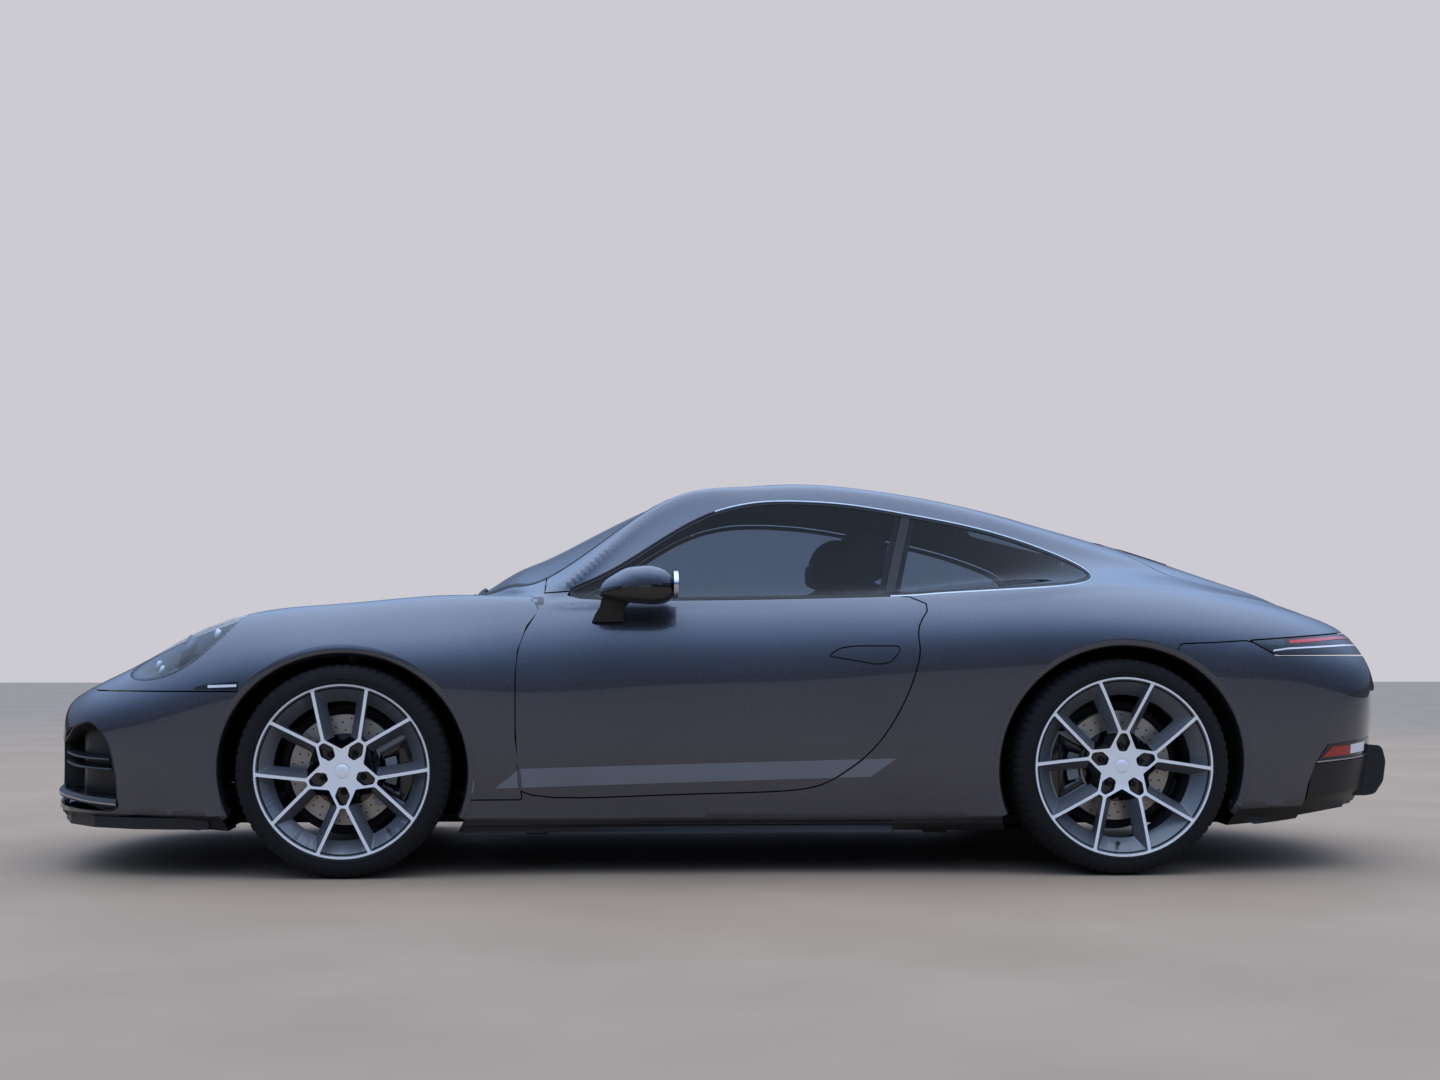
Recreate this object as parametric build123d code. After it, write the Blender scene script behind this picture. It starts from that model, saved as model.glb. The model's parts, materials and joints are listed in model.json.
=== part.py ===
"""Rear-engined two-door coupe car, drawn in millimetres.

+X runs to the tail, +Y to the car's right, +Z up. The origin lies on the
ground, halfway along the length and the width.
"""
from build123d import *
import math
import os

# ---- driving dimensions --------------------------------------------------
length = 4542
body_width = 1852
height = 1293
wheelbase = 2450
front_overhang = 1030
front_track = 1589
rear_track = 1557
mirror_span = 2033

shut_gap = 5              # round the doors and their glass
lid_gap = 8               # round the two lids
pipe_y = 590               # middle of each tailpipe
pipe_z = 352
pipe_radius = 42
lid_end_gap = 14          # behind the rear lid, which swings back as it lifts
panel_wall = 26           # wings, bumpers and quarters
door_skin_wall = 30       # outer layer of a door
door_skin_y = 785         # the outer layer reaches in to here at the belt
door_inner_y = 690        # and the inner layer to here
door_wall = 105           # whole door, and the sill and post beside it
door_step = 16            # inner layer of a door stands in by this much
lid_wall = 22
roof_wall = 34
glass_wall = 6
seat_clearance = 0.3      # between pieces on different bodies that rest
running_clearance = 0.05  # shafts in bores

front_tyre_radius = 334
rear_tyre_radius = 343
front_tyre_width = 243
rear_tyre_width = 290
front_rim_radius = 270.5
rear_rim_radius = 284
front_rim_width = 228
rear_rim_width = 284
rim_wall = 9
flange_height = 14
flange_wall = 10
rim_depth = 40            # spoke face to the back of the spokes
spoke_pairs = 5
bolt_circle = 130
wheel_bolts = 5
bolt_hole_radius = 7.5
disc_radius = 175
disc_thickness = 34
hat_radius = 84
hat_depth = 52
spindle_radius = 30
caliper_clearance = 5

front_arch_radius = 383
rear_arch_radius = 388
well_radius = 424
rear_well_radius = 402
liner_wall = 8
well_outer_y = 818        # the wells are wide as far out as this, then the lip
front_well_inner_y = 452
rear_well_inner_y = 590

door_pin_radius = 2.2     # hinge pins stand in the shut gaps
door_pin_y = 890
door_pin_z = 470
door_pin_length = 60
lid_pin_radius = 3
front_lid_pin_z = 874
front_lid_pin_y = 556     # the pins' inner ends
rear_lid_pin_z = 1086.5
rear_lid_pin_length = 60
pin_web = 3

plate_bolt_x = 178
plate_bolt_z = 121
plate_bolt_radius = 3
plate_height = 440        # middle of the rear plate
front_plate_height = 392
tow_eye_radius = 9
tow_eye_wall = 11
tow_eye_depth = 60
tow_eye_front = -2208     # just inside the bumper's skin
tow_eye_y = 420
tow_eye_z = 425
jack_pad_length = 70
jack_pad_width = 50
jack_pad_depth = 12
jack_pad_y = 735

nose = -length / 2
tail = length / 2
front_axle = nose + front_overhang
rear_axle = front_axle + wheelbase
far = 4 * length          # reaches past the whole car

# The outline is drawn at these stations and this box, then carried onto the
# driving dimensions above.
DRAWN_X = (-2271, -1241, 1209, 2271)
DRAWN_HALF_WIDTH = 926
DRAWN_HEIGHT = 1293


def fore(x):
    """Real x of a drawn station: the overhangs and wheelbase stretch apart."""
    real = (nose, front_axle, rear_axle, tail)
    k = 0 if x < DRAWN_X[1] else 1 if x < DRAWN_X[2] else 2
    share = (x - DRAWN_X[k]) / (DRAWN_X[k + 1] - DRAWN_X[k])
    return real[k] + share * (real[k + 1] - real[k])


def out(y):
    """Real y of a drawn distance from the middle plane."""
    return y * body_width / 2 / DRAWN_HALF_WIDTH


def up(z):
    """Real z of a drawn height."""
    return z * height / DRAWN_HEIGHT


# ---- solids from outlines --------------------------------------------------
def polygon(points):
    return Face(Wire.make_polygon([Vector(*p) for p in points], close=True))


def side_prism(outline, y0, y1, grow=0.0):
    """Drawn (x, z) outline carried across the car from y0 to y1."""
    face = polygon([(fore(x), y0, up(z)) for x, z in outline])
    face = widen(face, grow)
    return Solid.extrude(face, Vector(0, y1 - y0, 0))


def plan_prism(outline, z0, z1, grow=0.0):
    """Drawn (x, y) outline carried from z0 up to z1."""
    face = polygon([(fore(x), out(y), z0) for x, y in outline])
    face = widen(face, grow)
    return Solid.extrude(face, Vector(0, 0, z1 - z0))


def front_prism(outline, x0, x1, grow=0.0):
    """Drawn (y, z) outline carried along the car from x0 to x1."""
    face = polygon([(x0, out(y), up(z)) for y, z in outline])
    face = widen(face, grow)
    return Solid.extrude(face, Vector(x1 - x0, 0, 0))


def widen(face, amount):
    """The face with its outline moved out by the amount, corners sharp."""
    if not amount:
        return face
    moved = offset(face, amount=amount, kind=Kind.INTERSECTION)
    return moved.faces()[0]


def both_sides(outline):
    """A half outline of (x, y) points closed by its mirror image."""
    return outline + [(x, -y) for x, y in reversed(outline) if y]


def box(x0, x1, y0, y1, z0, z1):
    corner = Plane((x0, y0, z0))
    return Solid.make_box(x1 - x0, y1 - y0, z1 - z0, corner)


def rod(a, b, radius):
    """Round bar from point a to point b."""
    start = Vector(*a)
    run = Vector(*b) - start
    return Solid.make_cylinder(radius, run.length, Plane(start, z_dir=run))


def across(x, y0, y1, z, radius):
    """Round bar along the width."""
    low, high = min(y0, y1), max(y0, y1)
    return rod((x, low, z), (x, high, z), radius)


def swap(part):
    """The same piece on the car's other side."""
    return part.mirror(Plane.XZ)


def faceted(rings):
    """Closed solid of flat facets through rings of as many points each."""
    faces = [polygon(rings[0]), polygon(rings[-1])]
    count = len(rings[0])
    for near, beyond in zip(rings, rings[1:]):
        for i in range(count):
            j = (i + 1) % count
            a, b, c, d = near[i], near[j], beyond[j], beyond[i]
            if i < count // 2:
                faces += [polygon((a, b, c)), polygon((a, c, d))]
            else:
                faces += [polygon((a, b, d)), polygon((b, c, d))]
    return Solid(Shell(faces))


def ring(x, half):
    """Ring at station x from half a section, bottom middle to top middle."""
    right = [(fore(x), out(y), up(z)) for y, z in half]
    left = [(px, -py, pz) for px, py, pz in reversed(right[1:-1])]
    return right + left


# Lower body. Columns: x, then (y, z) pairs: floor edge, sill, low side,
# widest, upper side, crest, valley; last the height on the middle plane.
LOWER = [
    (-2271, 150, 196, 190, 215, 205, 290, 212, 380, 200, 440, 150, 468, 90, 476, 478),
    (-2240, 320, 186, 365, 205, 345, 290, 345, 390, 332, 468, 270, 512, 160, 524, 528),
    (-2160, 570, 178, 630, 205, 618, 300, 620, 410, 580, 504, 470, 555, 330, 572, 578),
    (-2050, 690, 168, 748, 205, 765, 310, 775, 430, 750, 530, 640, 598, 450, 612, 616),
    (-1900, 768, 160, 818, 205, 845, 320, 856, 455, 835, 580, 715, 664, 500, 680, 682),
    (-1720, 800, 152, 860, 200, 885, 330, 893, 480, 878, 640, 735, 772, 520, 750, 752),
    (-1560, 820, 146, 885, 195, 905, 340, 912, 500, 900, 690, 730, 832, 530, 790, 793),
    (-1241, 820, 140, 895, 190, 918, 350, 926, 520, 912, 730, 725, 864, 540, 842, 850),
    (-950, 800, 138, 870, 190, 900, 350, 908, 520, 898, 730, 740, 878, 560, 882, 895),
    (-700, 780, 136, 850, 185, 885, 350, 893, 500, 885, 730, 770, 874, 600, 880, 886),
    (-300, 770, 136, 842, 185, 877, 350, 886, 520, 880, 735, 790, 882, 600, 880, 880),
    (200, 770, 136, 842, 185, 880, 350, 891, 540, 885, 745, 795, 889, 600, 885, 885),
    (560, 775, 137, 852, 185, 892, 350, 904, 560, 899, 765, 802, 898, 600, 895, 895),
    (850, 785, 138, 875, 190, 908, 360, 918, 580, 912, 790, 800, 910, 620, 915, 915),
    (1209, 800, 142, 895, 200, 920, 370, 926, 600, 918, 800, 792, 905, 620, 935, 960),
    (1550, 800, 152, 885, 215, 912, 380, 920, 600, 902, 780, 770, 872, 600, 910, 950),
    (1800, 760, 168, 845, 230, 880, 390, 892, 590, 868, 745, 720, 834, 540, 862, 884),
    (2000, 660, 192, 750, 250, 800, 400, 818, 565, 780, 695, 620, 785, 430, 812, 830),
    (2150, 440, 218, 530, 266, 580, 400, 592, 540, 560, 640, 420, 718, 300, 746, 752),
    (2235, 250, 248, 320, 296, 375, 400, 388, 520, 360, 592, 280, 645, 200, 658, 662),
    (2271, 150, 290, 190, 330, 220, 400, 230, 490, 210, 545, 160, 576, 110, 584, 586),
]

# Cabin and fast back. Columns: x, then (y, z) pairs: base, waist, rail, roof
# edge; last the height on the middle plane.
UPPER = [
    (-885, 100, 840, 100, 866, 98, 884, 60, 888, 892),
    (-780, 450, 840, 450, 866, 445, 892, 370, 922, 966),
    (-700, 620, 840, 620, 862, 615, 888, 530, 938, 1015),
    (-611, 745, 840, 745, 852, 742, 869, 670, 930, 1060),
    (-400, 776, 840, 765, 885, 684, 1030, 620, 1082, 1158),
    (-150, 778, 840, 765, 887, 596, 1194, 530, 1226, 1246),
    (50, 778, 840, 765, 888, 590, 1206, 505, 1251, 1283),
    (200, 778, 840, 765, 889, 588, 1209, 500, 1260, 1293),
    (420, 776, 840, 763, 890, 588, 1198, 500, 1247, 1284),
    (650, 768, 840, 755, 895, 580, 1164, 495, 1215, 1254),
    (850, 748, 840, 735, 905, 566, 1122, 480, 1176, 1216),
    (1050, 712, 840, 700, 920, 545, 1062, 455, 1126, 1174),
    (1250, 665, 840, 655, 930, 522, 1000, 430, 1071, 1124),
    (1450, 630, 840, 620, 915, 500, 955, 400, 1014, 1062),
    (1650, 590, 840, 580, 870, 480, 912, 380, 950, 982),
    (1800, 550, 820, 540, 840, 450, 878, 350, 894, 906),
    (1900, 480, 780, 470, 800, 400, 830, 300, 842, 850),
]


def lower_body(side=0, top=0, bottom=0, ends=False):
    """Lower body, drawn in by a wall at the sides and top.

    With ends, the rings nearest the nose and tail are left out, which leaves
    the end walls standing. bottom carries the floor edge down, to open it.
    """
    rings = []
    for row in LOWER[1:-1] if ends else LOWER:
        x, pairs, centre = row[0], row[1:-1], row[-1]
        half = list(zip(pairs[0::2], pairs[1::2]))
        half = [(y - (side if i < 6 else 0), z) for i, (y, z) in enumerate(half)]
        half = [(y, z - (top if i > 3 else 0)) for i, (y, z) in enumerate(half)]
        half[0] = (half[0][0], half[0][1] - bottom)
        if bottom:
            half[1] = (half[1][0], half[1][1] - bottom / 2)
        rings.append(ring(x, [(0, half[0][1])] + half + [(0, centre - top)]))
    return faceted(rings)


def upper_body(wall=0, ends=False):
    """Cabin and fast back, drawn in by a wall."""
    rings = []
    for row in UPPER[1:-1] if ends else UPPER:
        x, pairs, centre = row[0], row[1:-1], row[-1]
        half = list(zip(pairs[0::2], pairs[1::2]))
        half = [(y - wall, z - (wall if i > 1 else 0)) for i, (y, z) in enumerate(half)]
        rings.append(ring(x, [(0, half[0][1])] + half + [(0, centre - wall)]))
    return faceted(rings)


def first(shape):
    """The largest solid of a cut's result."""
    return max(shape.solids(), key=lambda s: s.volume)


# ---- outlines drawn on the body -------------------------------------------
DOOR = [(-615, 900), (-615, 858), (-669, 787), (-698, 707), (-705, 620), (-705, 440),
        (-694, 350), (-685, 249), (-279, 256), (21, 262), (171, 270), (272, 291),
        (371, 357), (451, 437), (522, 562), (557, 667), (564, 727), (547, 808), (529, 900)]
DOOR_RAISED = [(x, z + 60 if z == 900 else z) for x, z in DOOR]
DOOR_TOP = [(-640, 862), (-640, 960), (535, 960), (535, 862)]
DOOR_GLASS = [(-514, 868), (-438, 931), (-273, 1042), (-167, 1108), (-60, 1160),
              (47, 1186), (154, 1196), (365, 1188), (564, 1153), (493, 868)]
QUARTER_GLASS = [(512, 892), (586, 1150), (750, 1123), (918, 1081), (1046, 1037),
                 (1132, 999), (1170, 960), (1119, 937), (995, 919), (800, 906)]
WINDSCREEN = both_sides([(-866, 0), (-846, 200), (-788, 400), (-706, 560), (-632, 655),
                         (-400, 612), (-175, 520), (-160, 250), (-155, 0)])
REAR_WINDOW = both_sides([(905, 0), (915, 300), (960, 425), (1150, 405), (1310, 370),
                          (1310, 0)])
FRONT_LID = both_sides([(-2075, 0), (-2060, 250), (-2010, 400), (-1900, 490), (-1560, 530),
                        (-1100, 560), (-800, 585), (-845, 400), (-882, 200), (-890, 0)])
REAR_LID = both_sides([(1340, 0), (1340, 400), (1500, 540), (1790, 600), (1870, 660),
                       (1990, 600), (2090, 450), (2145, 250), (2155, 0)])
BUMPER_SIDE = [(-2400, 700), (-2105, 700), (-2060, 583), (-1537, 583), (-1537, 60),
               (-2400, 60)]
REAR_BUMPER_SIDE = [(1500, 60), (1500, 735), (1611, 742), (1704, 692), (1997, 694),
                    (2400, 694), (2400, 60)]
LAMP_SIDE = [(1611, 742), (1704, 692), (1997, 694), (2400, 694), (2400, 768), (1997, 768)]
CABIN_WELL = both_sides([(-560, 0), (-560, 640), (480, 660), (900, 560), (1130, 480),
                         (1130, 0)])

DIFFUSER = [(1850, 172), (2000, 190), (2150, 214), (2232, 236), (2300, 270), (2300, 345),
            (2225, 345), (2225, 268), (2150, 240), (2000, 214), (1850, 194)]

DOOR_PIN_X = fore(DOOR[4][0]) - shut_gap / 2     # middle of the gap ahead of a door
FRONT_LID_PIN_X = fore(-830)
REAR_LID_PIN_X = fore(REAR_LID[0][0]) + lid_gap / 2

outer_lower = lower_body()
outer_upper = upper_body()
skin_inner = lower_body(panel_wall, panel_wall, 300, True)
door_inner = lower_body(door_wall, panel_wall, 300, True)
roof_inner = upper_body(roof_wall, True)
glass_inner = upper_body(glass_wall, True)


def wheel_well(axle, radius, arch, y_inner, axle_height):
    """Space swept by a wheel on the right side, wide inside its lip."""
    lip = across(axle, y_inner, far / 8, axle_height, arch)
    room = across(axle, y_inner, out(well_outer_y), axle_height, radius)
    below = box(axle - radius, axle + radius, y_inner, out(well_outer_y), -200, axle_height)
    open_lip = box(axle - arch, axle + arch, y_inner, far / 8, -200, axle_height)
    return lip + room + below + open_lip


front_well = wheel_well(front_axle, well_radius, front_arch_radius,
                        front_well_inner_y, front_tyre_radius)
rear_well = wheel_well(rear_axle, rear_well_radius, rear_arch_radius,
                       rear_well_inner_y, rear_tyre_radius)

nodes = {}


# ---- panels -----------------------------------------------------------------
def door_pin(radius):
    """Hinge pin of the right door, upright in the gap ahead of it."""
    foot = (DOOR_PIN_X, out(door_pin_y), door_pin_z)
    return rod(foot, (foot[0], foot[1], door_pin_z + door_pin_length), radius)


def front_lid_pin(radius, y_end):
    """Right pivot of the front lid, near its rear corner."""
    return rod((FRONT_LID_PIN_X, out(front_lid_pin_y), up(front_lid_pin_z)),
               (FRONT_LID_PIN_X, y_end, up(front_lid_pin_z)), radius)


def rear_lid_pin(radius):
    """Pivot bar in the gap ahead of the rear lid."""
    half = rear_lid_pin_length / 2
    return across(REAR_LID_PIN_X, -half, half, up(rear_lid_pin_z), radius)


def front_panels():
    """Bumper, wings, front lid, headlamps and cowl."""
    z_top = up(1000)
    lid = plan_prism(FRONT_LID, up(400), z_top, -lid_gap)
    aperture = plan_prism(FRONT_LID, up(400), z_top)
    ahead = box(-far, fore(-560), -far, far, -far, far)
    shell = first(outer_lower & ahead) - skin_inner
    lamp = headlamp_well()
    lid = (outer_lower & lid) - lower_body(0, lid_wall, 0, True)
    pivot = front_lid_pin(lid_pin_radius + seat_clearance, out(640))
    nodes["front_lid"] = first(lid - pivot - swap(pivot))
    bumper_zone = side_prism(BUMPER_SIDE, -far / 8, far / 8)
    bumper = (shell & bumper_zone) - aperture - front_well - swap(front_well)
    bumper = bumper - lamp - swap(lamp)
    for cut in intake_cuts():
        bumper = bumper - cut
    front, back = tow_eye_front, tow_eye_front + tow_eye_depth
    socket = rod((front, tow_eye_y, tow_eye_z), (back, tow_eye_y, tow_eye_z),
                 tow_eye_radius + tow_eye_wall)
    bore = rod((nose - 10, tow_eye_y, tow_eye_z), (back, tow_eye_y, tow_eye_z), tow_eye_radius)
    bumper = (bumper + socket) - bore
    for hole in plate_holes(nose - 10, fore(-2200), front_plate_height):
        bumper = bumper - hole
    nodes["front_bumper"] = first(bumper)
    door_zone = side_prism(DOOR, 0, far / 8, shut_gap)
    wing_zone = box(-far, fore(-600), out(380), far, up(60), far)
    sill_zone = box(fore(-860), far, 0, far, -far, up(242))
    wing = (shell & wing_zone) - bumper_zone - aperture - front_well - door_zone
    web = box(DOOR_PIN_X - shut_gap, DOOR_PIN_X, out(door_pin_y) - pin_web / 2,
              out(door_pin_y) + pin_web / 2, door_pin_z, door_pin_z + door_pin_length)
    wing = first(wing - sill_zone - lamp - outer_upper)
    wing = wing + web + door_pin(door_pin_radius) + front_lid_pin(lid_pin_radius, out(600))
    wing = first(wing)
    nodes["front_wings"] = Compound([wing, swap(wing)])
    lens = first((outer_lower & lamp) - lower_body(90, 90, 0, True))
    nodes["headlamps"] = Compound([lens, swap(lens)])
    cowl_zone = box(fore(-900), fore(-600), out(-640), out(640), up(700), z_top)
    cowl = (shell & cowl_zone) - aperture - outer_upper - wing - swap(wing)
    nodes["cowl_panel"] = first(cowl)


def plate_holes(x0, x1, z):
    """Four holes of a number plate, drilled from x0 to x1."""
    corners = [(sy, sz) for sy in (-0.5, 0.5) for sz in (-0.5, 0.5)]
    return [rod((x0, sy * plate_bolt_x, z + sz * plate_bolt_z),
                (x1, sy * plate_bolt_x, z + sz * plate_bolt_z), plate_bolt_radius)
            for sy, sz in corners]


def headlamp_well():
    """Oval hole of the right headlamp, square to the wing's front."""
    centre = (fore(-1749), out(740), up(743))
    along = Vector(0.80, -0.16, 0.57).normalized()
    facing = along.cross(Vector(0.22, 0.97, -0.04).normalized())
    plane = Plane(centre, x_dir=along, z_dir=facing)
    oval = Face(Wire.make_ellipse(205, 130, plane))
    return Solid.extrude(oval, facing * 260) + Solid.extrude(oval, facing * -120)


def intake_cuts():
    """The two outer intakes and the slot between them."""
    outer = [(345, 225), (560, 212), (770, 208), (770, 330), (752, 440), (560, 430),
             (345, 400)]
    middle = [(-300, 215), (300, 215), (300, 300), (-300, 300)]
    x0, x1 = nose - 50, fore(-1990)
    right = front_prism(outer, x0, x1)
    return [right, swap(right), front_prism(middle, x0, x1)]


def grille():
    """Slats across the intakes, with a dark back plate."""
    bars = []
    for z in (268, 326, 384):
        slat = [(-2215, z), (-2190, z + 12), (-2110, z + 12), (-2110, z - 4), (-2205, z - 8)]
        bars.append(side_prism(slat, out(345), out(640)))
    back = front_prism([(325, 205), (790, 190), (790, 460), (325, 425)],
                       fore(-2112), fore(-2100))
    body = (bars[0] + bars[1] + bars[2] + back) & outer_lower
    body = first(body - nodes["front_bumper"])
    nodes["front_grille"] = Compound([body, swap(body)])


def splitter():
    """Lip under the front bumper."""
    plan = both_sides([(-2262, 0), (-2250, 220), (-2218, 400), (-2150, 600), (-2040, 735),
                       (-1900, 812), (-1780, 835), (-1660, 845), (-1660, 600), (-1900, 600),
                       (-1900, 0)])
    lip = plan_prism(plan, up(150), up(186))
    nodes["front_splitter"] = first(lip - outer_lower - front_well - swap(front_well))


def body_sides():
    """Sill, door aperture and rear quarter in one panel each side."""
    zone = box(fore(-860), far, 0, far, -far, far)
    thick = box(fore(-860), fore(770), 0, far, -far, far)
    cabin = (outer_lower & thick) - door_inner
    behind = (outer_lower & box(fore(770), far, 0, far, -far, far)) - skin_inner
    side = (cabin + behind) & zone
    ahead = box(-far, fore(-600), 0, far, up(242), far)
    side = side - ahead - side_prism(DOOR_RAISED, 0, far / 8, shut_gap)
    side = side - side_prism(DOOR_TOP, 0, far / 8)
    side = side - plan_prism(REAR_LID, up(300), far) - plan_prism(CABIN_WELL, up(160), far)
    side = side - side_prism(REAR_BUMPER_SIDE, 0, far / 8) - side_prism(LAMP_SIDE, 0, far / 8)
    side = first(side - rear_well - front_well - outer_upper)
    nodes["body_side_right"] = side
    nodes["body_side_left"] = swap(side)


def roof():
    """Roof panel with pillars and the fast back round the rear window."""
    shell = (outer_upper - roof_inner) - outer_lower
    for outline in (DOOR_GLASS, QUARTER_GLASS):
        shell = shell - side_prism(outline, out(300), far / 8) \
                      - side_prism(outline, -far / 8, out(-300))
    shell = shell - plan_prism(WINDSCREEN, up(800), far) - plan_prism(REAR_WINDOW, up(900), far)
    shell = shell - plan_prism(REAR_LID, up(300), far)
    door_zone = side_prism(DOOR, out(300), far / 8, shut_gap)
    shell = first(shell - door_zone - swap(door_zone))
    half = rear_lid_pin_length / 2
    web = box(REAR_LID_PIN_X - lid_gap, REAR_LID_PIN_X, -half, half,
              up(rear_lid_pin_z) - pin_web / 2, up(rear_lid_pin_z) + pin_web / 2)
    nodes["roof"] = first(shell + web + rear_lid_pin(lid_gap / 2 - seat_clearance))


def windows():
    """Fixed panes, and the door panes that stop short of their frames."""
    pane = (outer_upper - glass_inner) - outer_lower
    nodes["windscreen"] = first(pane & plan_prism(WINDSCREEN, up(800), far))
    nodes["rear_window"] = first(pane & plan_prism(REAR_WINDOW, up(900), far))
    quarter = first(pane & side_prism(QUARTER_GLASS, out(300), far / 8))
    nodes["quarter_windows"] = Compound([quarter, swap(quarter)])
    raised = (outer_upper - glass_inner) & side_prism(DOOR_GLASS, out(300), far / 8, -shut_gap)
    glass = first(raised - nodes["door_right"])
    nodes["door_glass_right"] = glass
    nodes["door_glass_left"] = swap(glass)


def doors():
    """Door shells: a skin layer, and an inner layer that stands in."""
    skin_zone = outer_lower & side_prism(DOOR_RAISED, out(door_skin_y), far / 8)
    skin_layer = skin_zone - lower_body(door_skin_wall, panel_wall, 300, True)
    inner_zone = outer_lower & side_prism(DOOR_RAISED, out(door_inner_y), far / 8, -door_step)
    inner_layer = inner_zone - door_inner
    door = (skin_layer + inner_layer) - plan_prism(CABIN_WELL, up(160), far)
    door = first(door - door_pin(door_pin_radius + seat_clearance))
    nodes["door_right"] = door
    nodes["door_left"] = swap(door)


def mirrors():
    """Door mirrors: a head on a flat stalk."""
    head = side_prism([(-440, 905), (-400, 870), (-250, 855), (-205, 880), (-210, 930),
                       (-263, 975), (-330, 968)], out(850), mirror_span / 2)
    stalk = side_prism([(-455, 880), (-430, 868), (-330, 872), (-330, 886), (-440, 900)],
                       out(760), out(850))
    mirror = first((head + stalk) - nodes["door_right"] - nodes["door_glass_right"])
    nodes["mirror_right"] = mirror
    nodes["mirror_left"] = swap(mirror)


def tail_panels():
    """Rear lid, lamp bar, rear bumper and diffuser."""
    whole = outer_lower + outer_upper
    inner = lower_body(0, lid_wall, 0, True) + upper_body(lid_wall, True)
    lid = plan_prism(lid_outline(), up(500), far, -lid_gap)
    nodes["rear_lid"] = first((whole & lid) - inner)
    aperture = plan_prism(REAR_LID, up(300), far)
    shell = (outer_lower & box(fore(1400), far, -far, far, -far, far)) - skin_inner
    lamp = (shell & side_prism(LAMP_SIDE, -far / 8, far / 8)) - aperture
    nodes["tail_lamp"] = first(lamp)
    zone = side_prism(REAR_BUMPER_SIDE, -far / 8, far / 8)
    bumper = (shell & zone) - rear_well - swap(rear_well) - diffuser_zone()
    for y in (-pipe_y, pipe_y):
        bumper = bumper - rod((fore(2040), out(y), up(pipe_z)), (tail + 20, out(y), up(pipe_z)),
                              pipe_radius + 10)
    for hole in plate_holes(fore(2200), tail + 10, plate_height):
        bumper = bumper - hole
    nodes["rear_bumper"] = first(bumper)
    plate = side_prism(DIFFUSER, out(-560), out(560)) & outer_lower
    nodes["diffuser"] = first(plate)


def lid_outline():
    """The rear lid's aperture, drawn in behind for its swing."""
    short = lid_end_gap - lid_gap
    return [(x - short if x > 1800 else x, y) for x, y in REAR_LID]


def diffuser_zone():
    """Lower middle of the tail, between the exhaust tips."""
    outline = [(1800, 60), (1800, 250), (1960, 262), (2060, 345), (2400, 345), (2400, 60)]
    return side_prism(outline, out(-560), out(560))


# ---- under the skin -----------------------------------------------------------
floor_low = up(136)
floor_top = up(162)
subframe_top = floor_top + 110
rear_shaft_end = 600


def floor_and_bulkheads():
    """Floor pan, stepped in at the wheels, and the two bulkheads."""
    plan = both_sides([(-1900, 0), (-1900, 440), (-800, 440), (-800, 770),
                       (780, 770), (780, 560), (1650, 560), (1900, 480), (1900, 0)])
    pan = plan_prism(plan, floor_low, floor_top) - front_well - swap(front_well)
    pan = pan - rear_well - swap(rear_well)
    for name in ("body_side_right", "body_side_left", "front_bumper", "diffuser",
                 "rear_bumper"):
        pan = pan - nodes[name]
    for x in (fore(-640), fore(640)):
        for side in (-1, 1):
            y = side * jack_pad_y
            pan = pan + box(x - jack_pad_length / 2, x + jack_pad_length / 2,
                            y - jack_pad_width / 2, y + jack_pad_width / 2,
                            floor_low - jack_pad_depth, floor_low)
    nodes["floor_pan"] = first(pan)
    front = front_prism([(-700, 162), (700, 162), (700, 840), (-700, 840)],
                        fore(-800), fore(-780))
    rear = front_prism([(-560, 162), (560, 162), (560, 760), (-560, 760)],
                       fore(985), fore(1005))
    walls = [front & skin_inner, rear & skin_inner]
    nodes["bulkheads"] = Compound([first(w - nodes["roof"]) for w in walls])


def wheel_liners():
    """Arched liners over the four wheels."""
    liners = []
    for axle, radius, y_in, z in ((front_axle, well_radius, front_well_inner_y, front_tyre_radius),
                                  (rear_axle, rear_well_radius, rear_well_inner_y, rear_tyre_radius)):
        ringed = across(axle, y_in, out(well_outer_y), z, radius + liner_wall) \
            - across(axle, y_in, out(well_outer_y), z, radius)
        wall = across(axle, y_in - liner_wall, y_in, z, radius + liner_wall)
        shell = (ringed + wall) & box(axle - far, axle + far, 0, far, z - 60, far)
        shell = shell & lower_body(panel_wall, panel_wall)
        liners.append(first(shell - box(-far, far, 0, far, -far, floor_top)))
    liners[0] = first(liners[0] - nodes["front_struts"])
    liners[1] = first(liners[1] - nodes["rear_struts"] - nodes["rear_subframe"]
                      - across(rear_axle, 0, rear_well_inner_y + 10, rear_tyre_radius, 16))
    nodes["wheel_liners"] = Compound([*liners, *[swap(p) for p in liners]])


kingpin_foot = (0, 732, 196)     # from the front axle line: x, y, z
kingpin_head = (0, 592, 792)


def kingpin_point(z):
    """Point at height z on the right kingpin axis."""
    x0, y0, z0 = kingpin_foot
    share = (z - z0) / (kingpin_head[2] - z0)
    return (front_axle + x0, y0 + share * (kingpin_head[1] - y0), z)


def luggage_tub():
    """Open tub under the front lid."""
    plan = [(-1860, -400), (-1860, 400), (-800, 400), (-800, -400)]
    tub = plan_prism(plan, up(330), up(615)) - plan_prism(plan, up(342), up(700), -12)
    nodes["luggage_tub"] = tub


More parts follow.
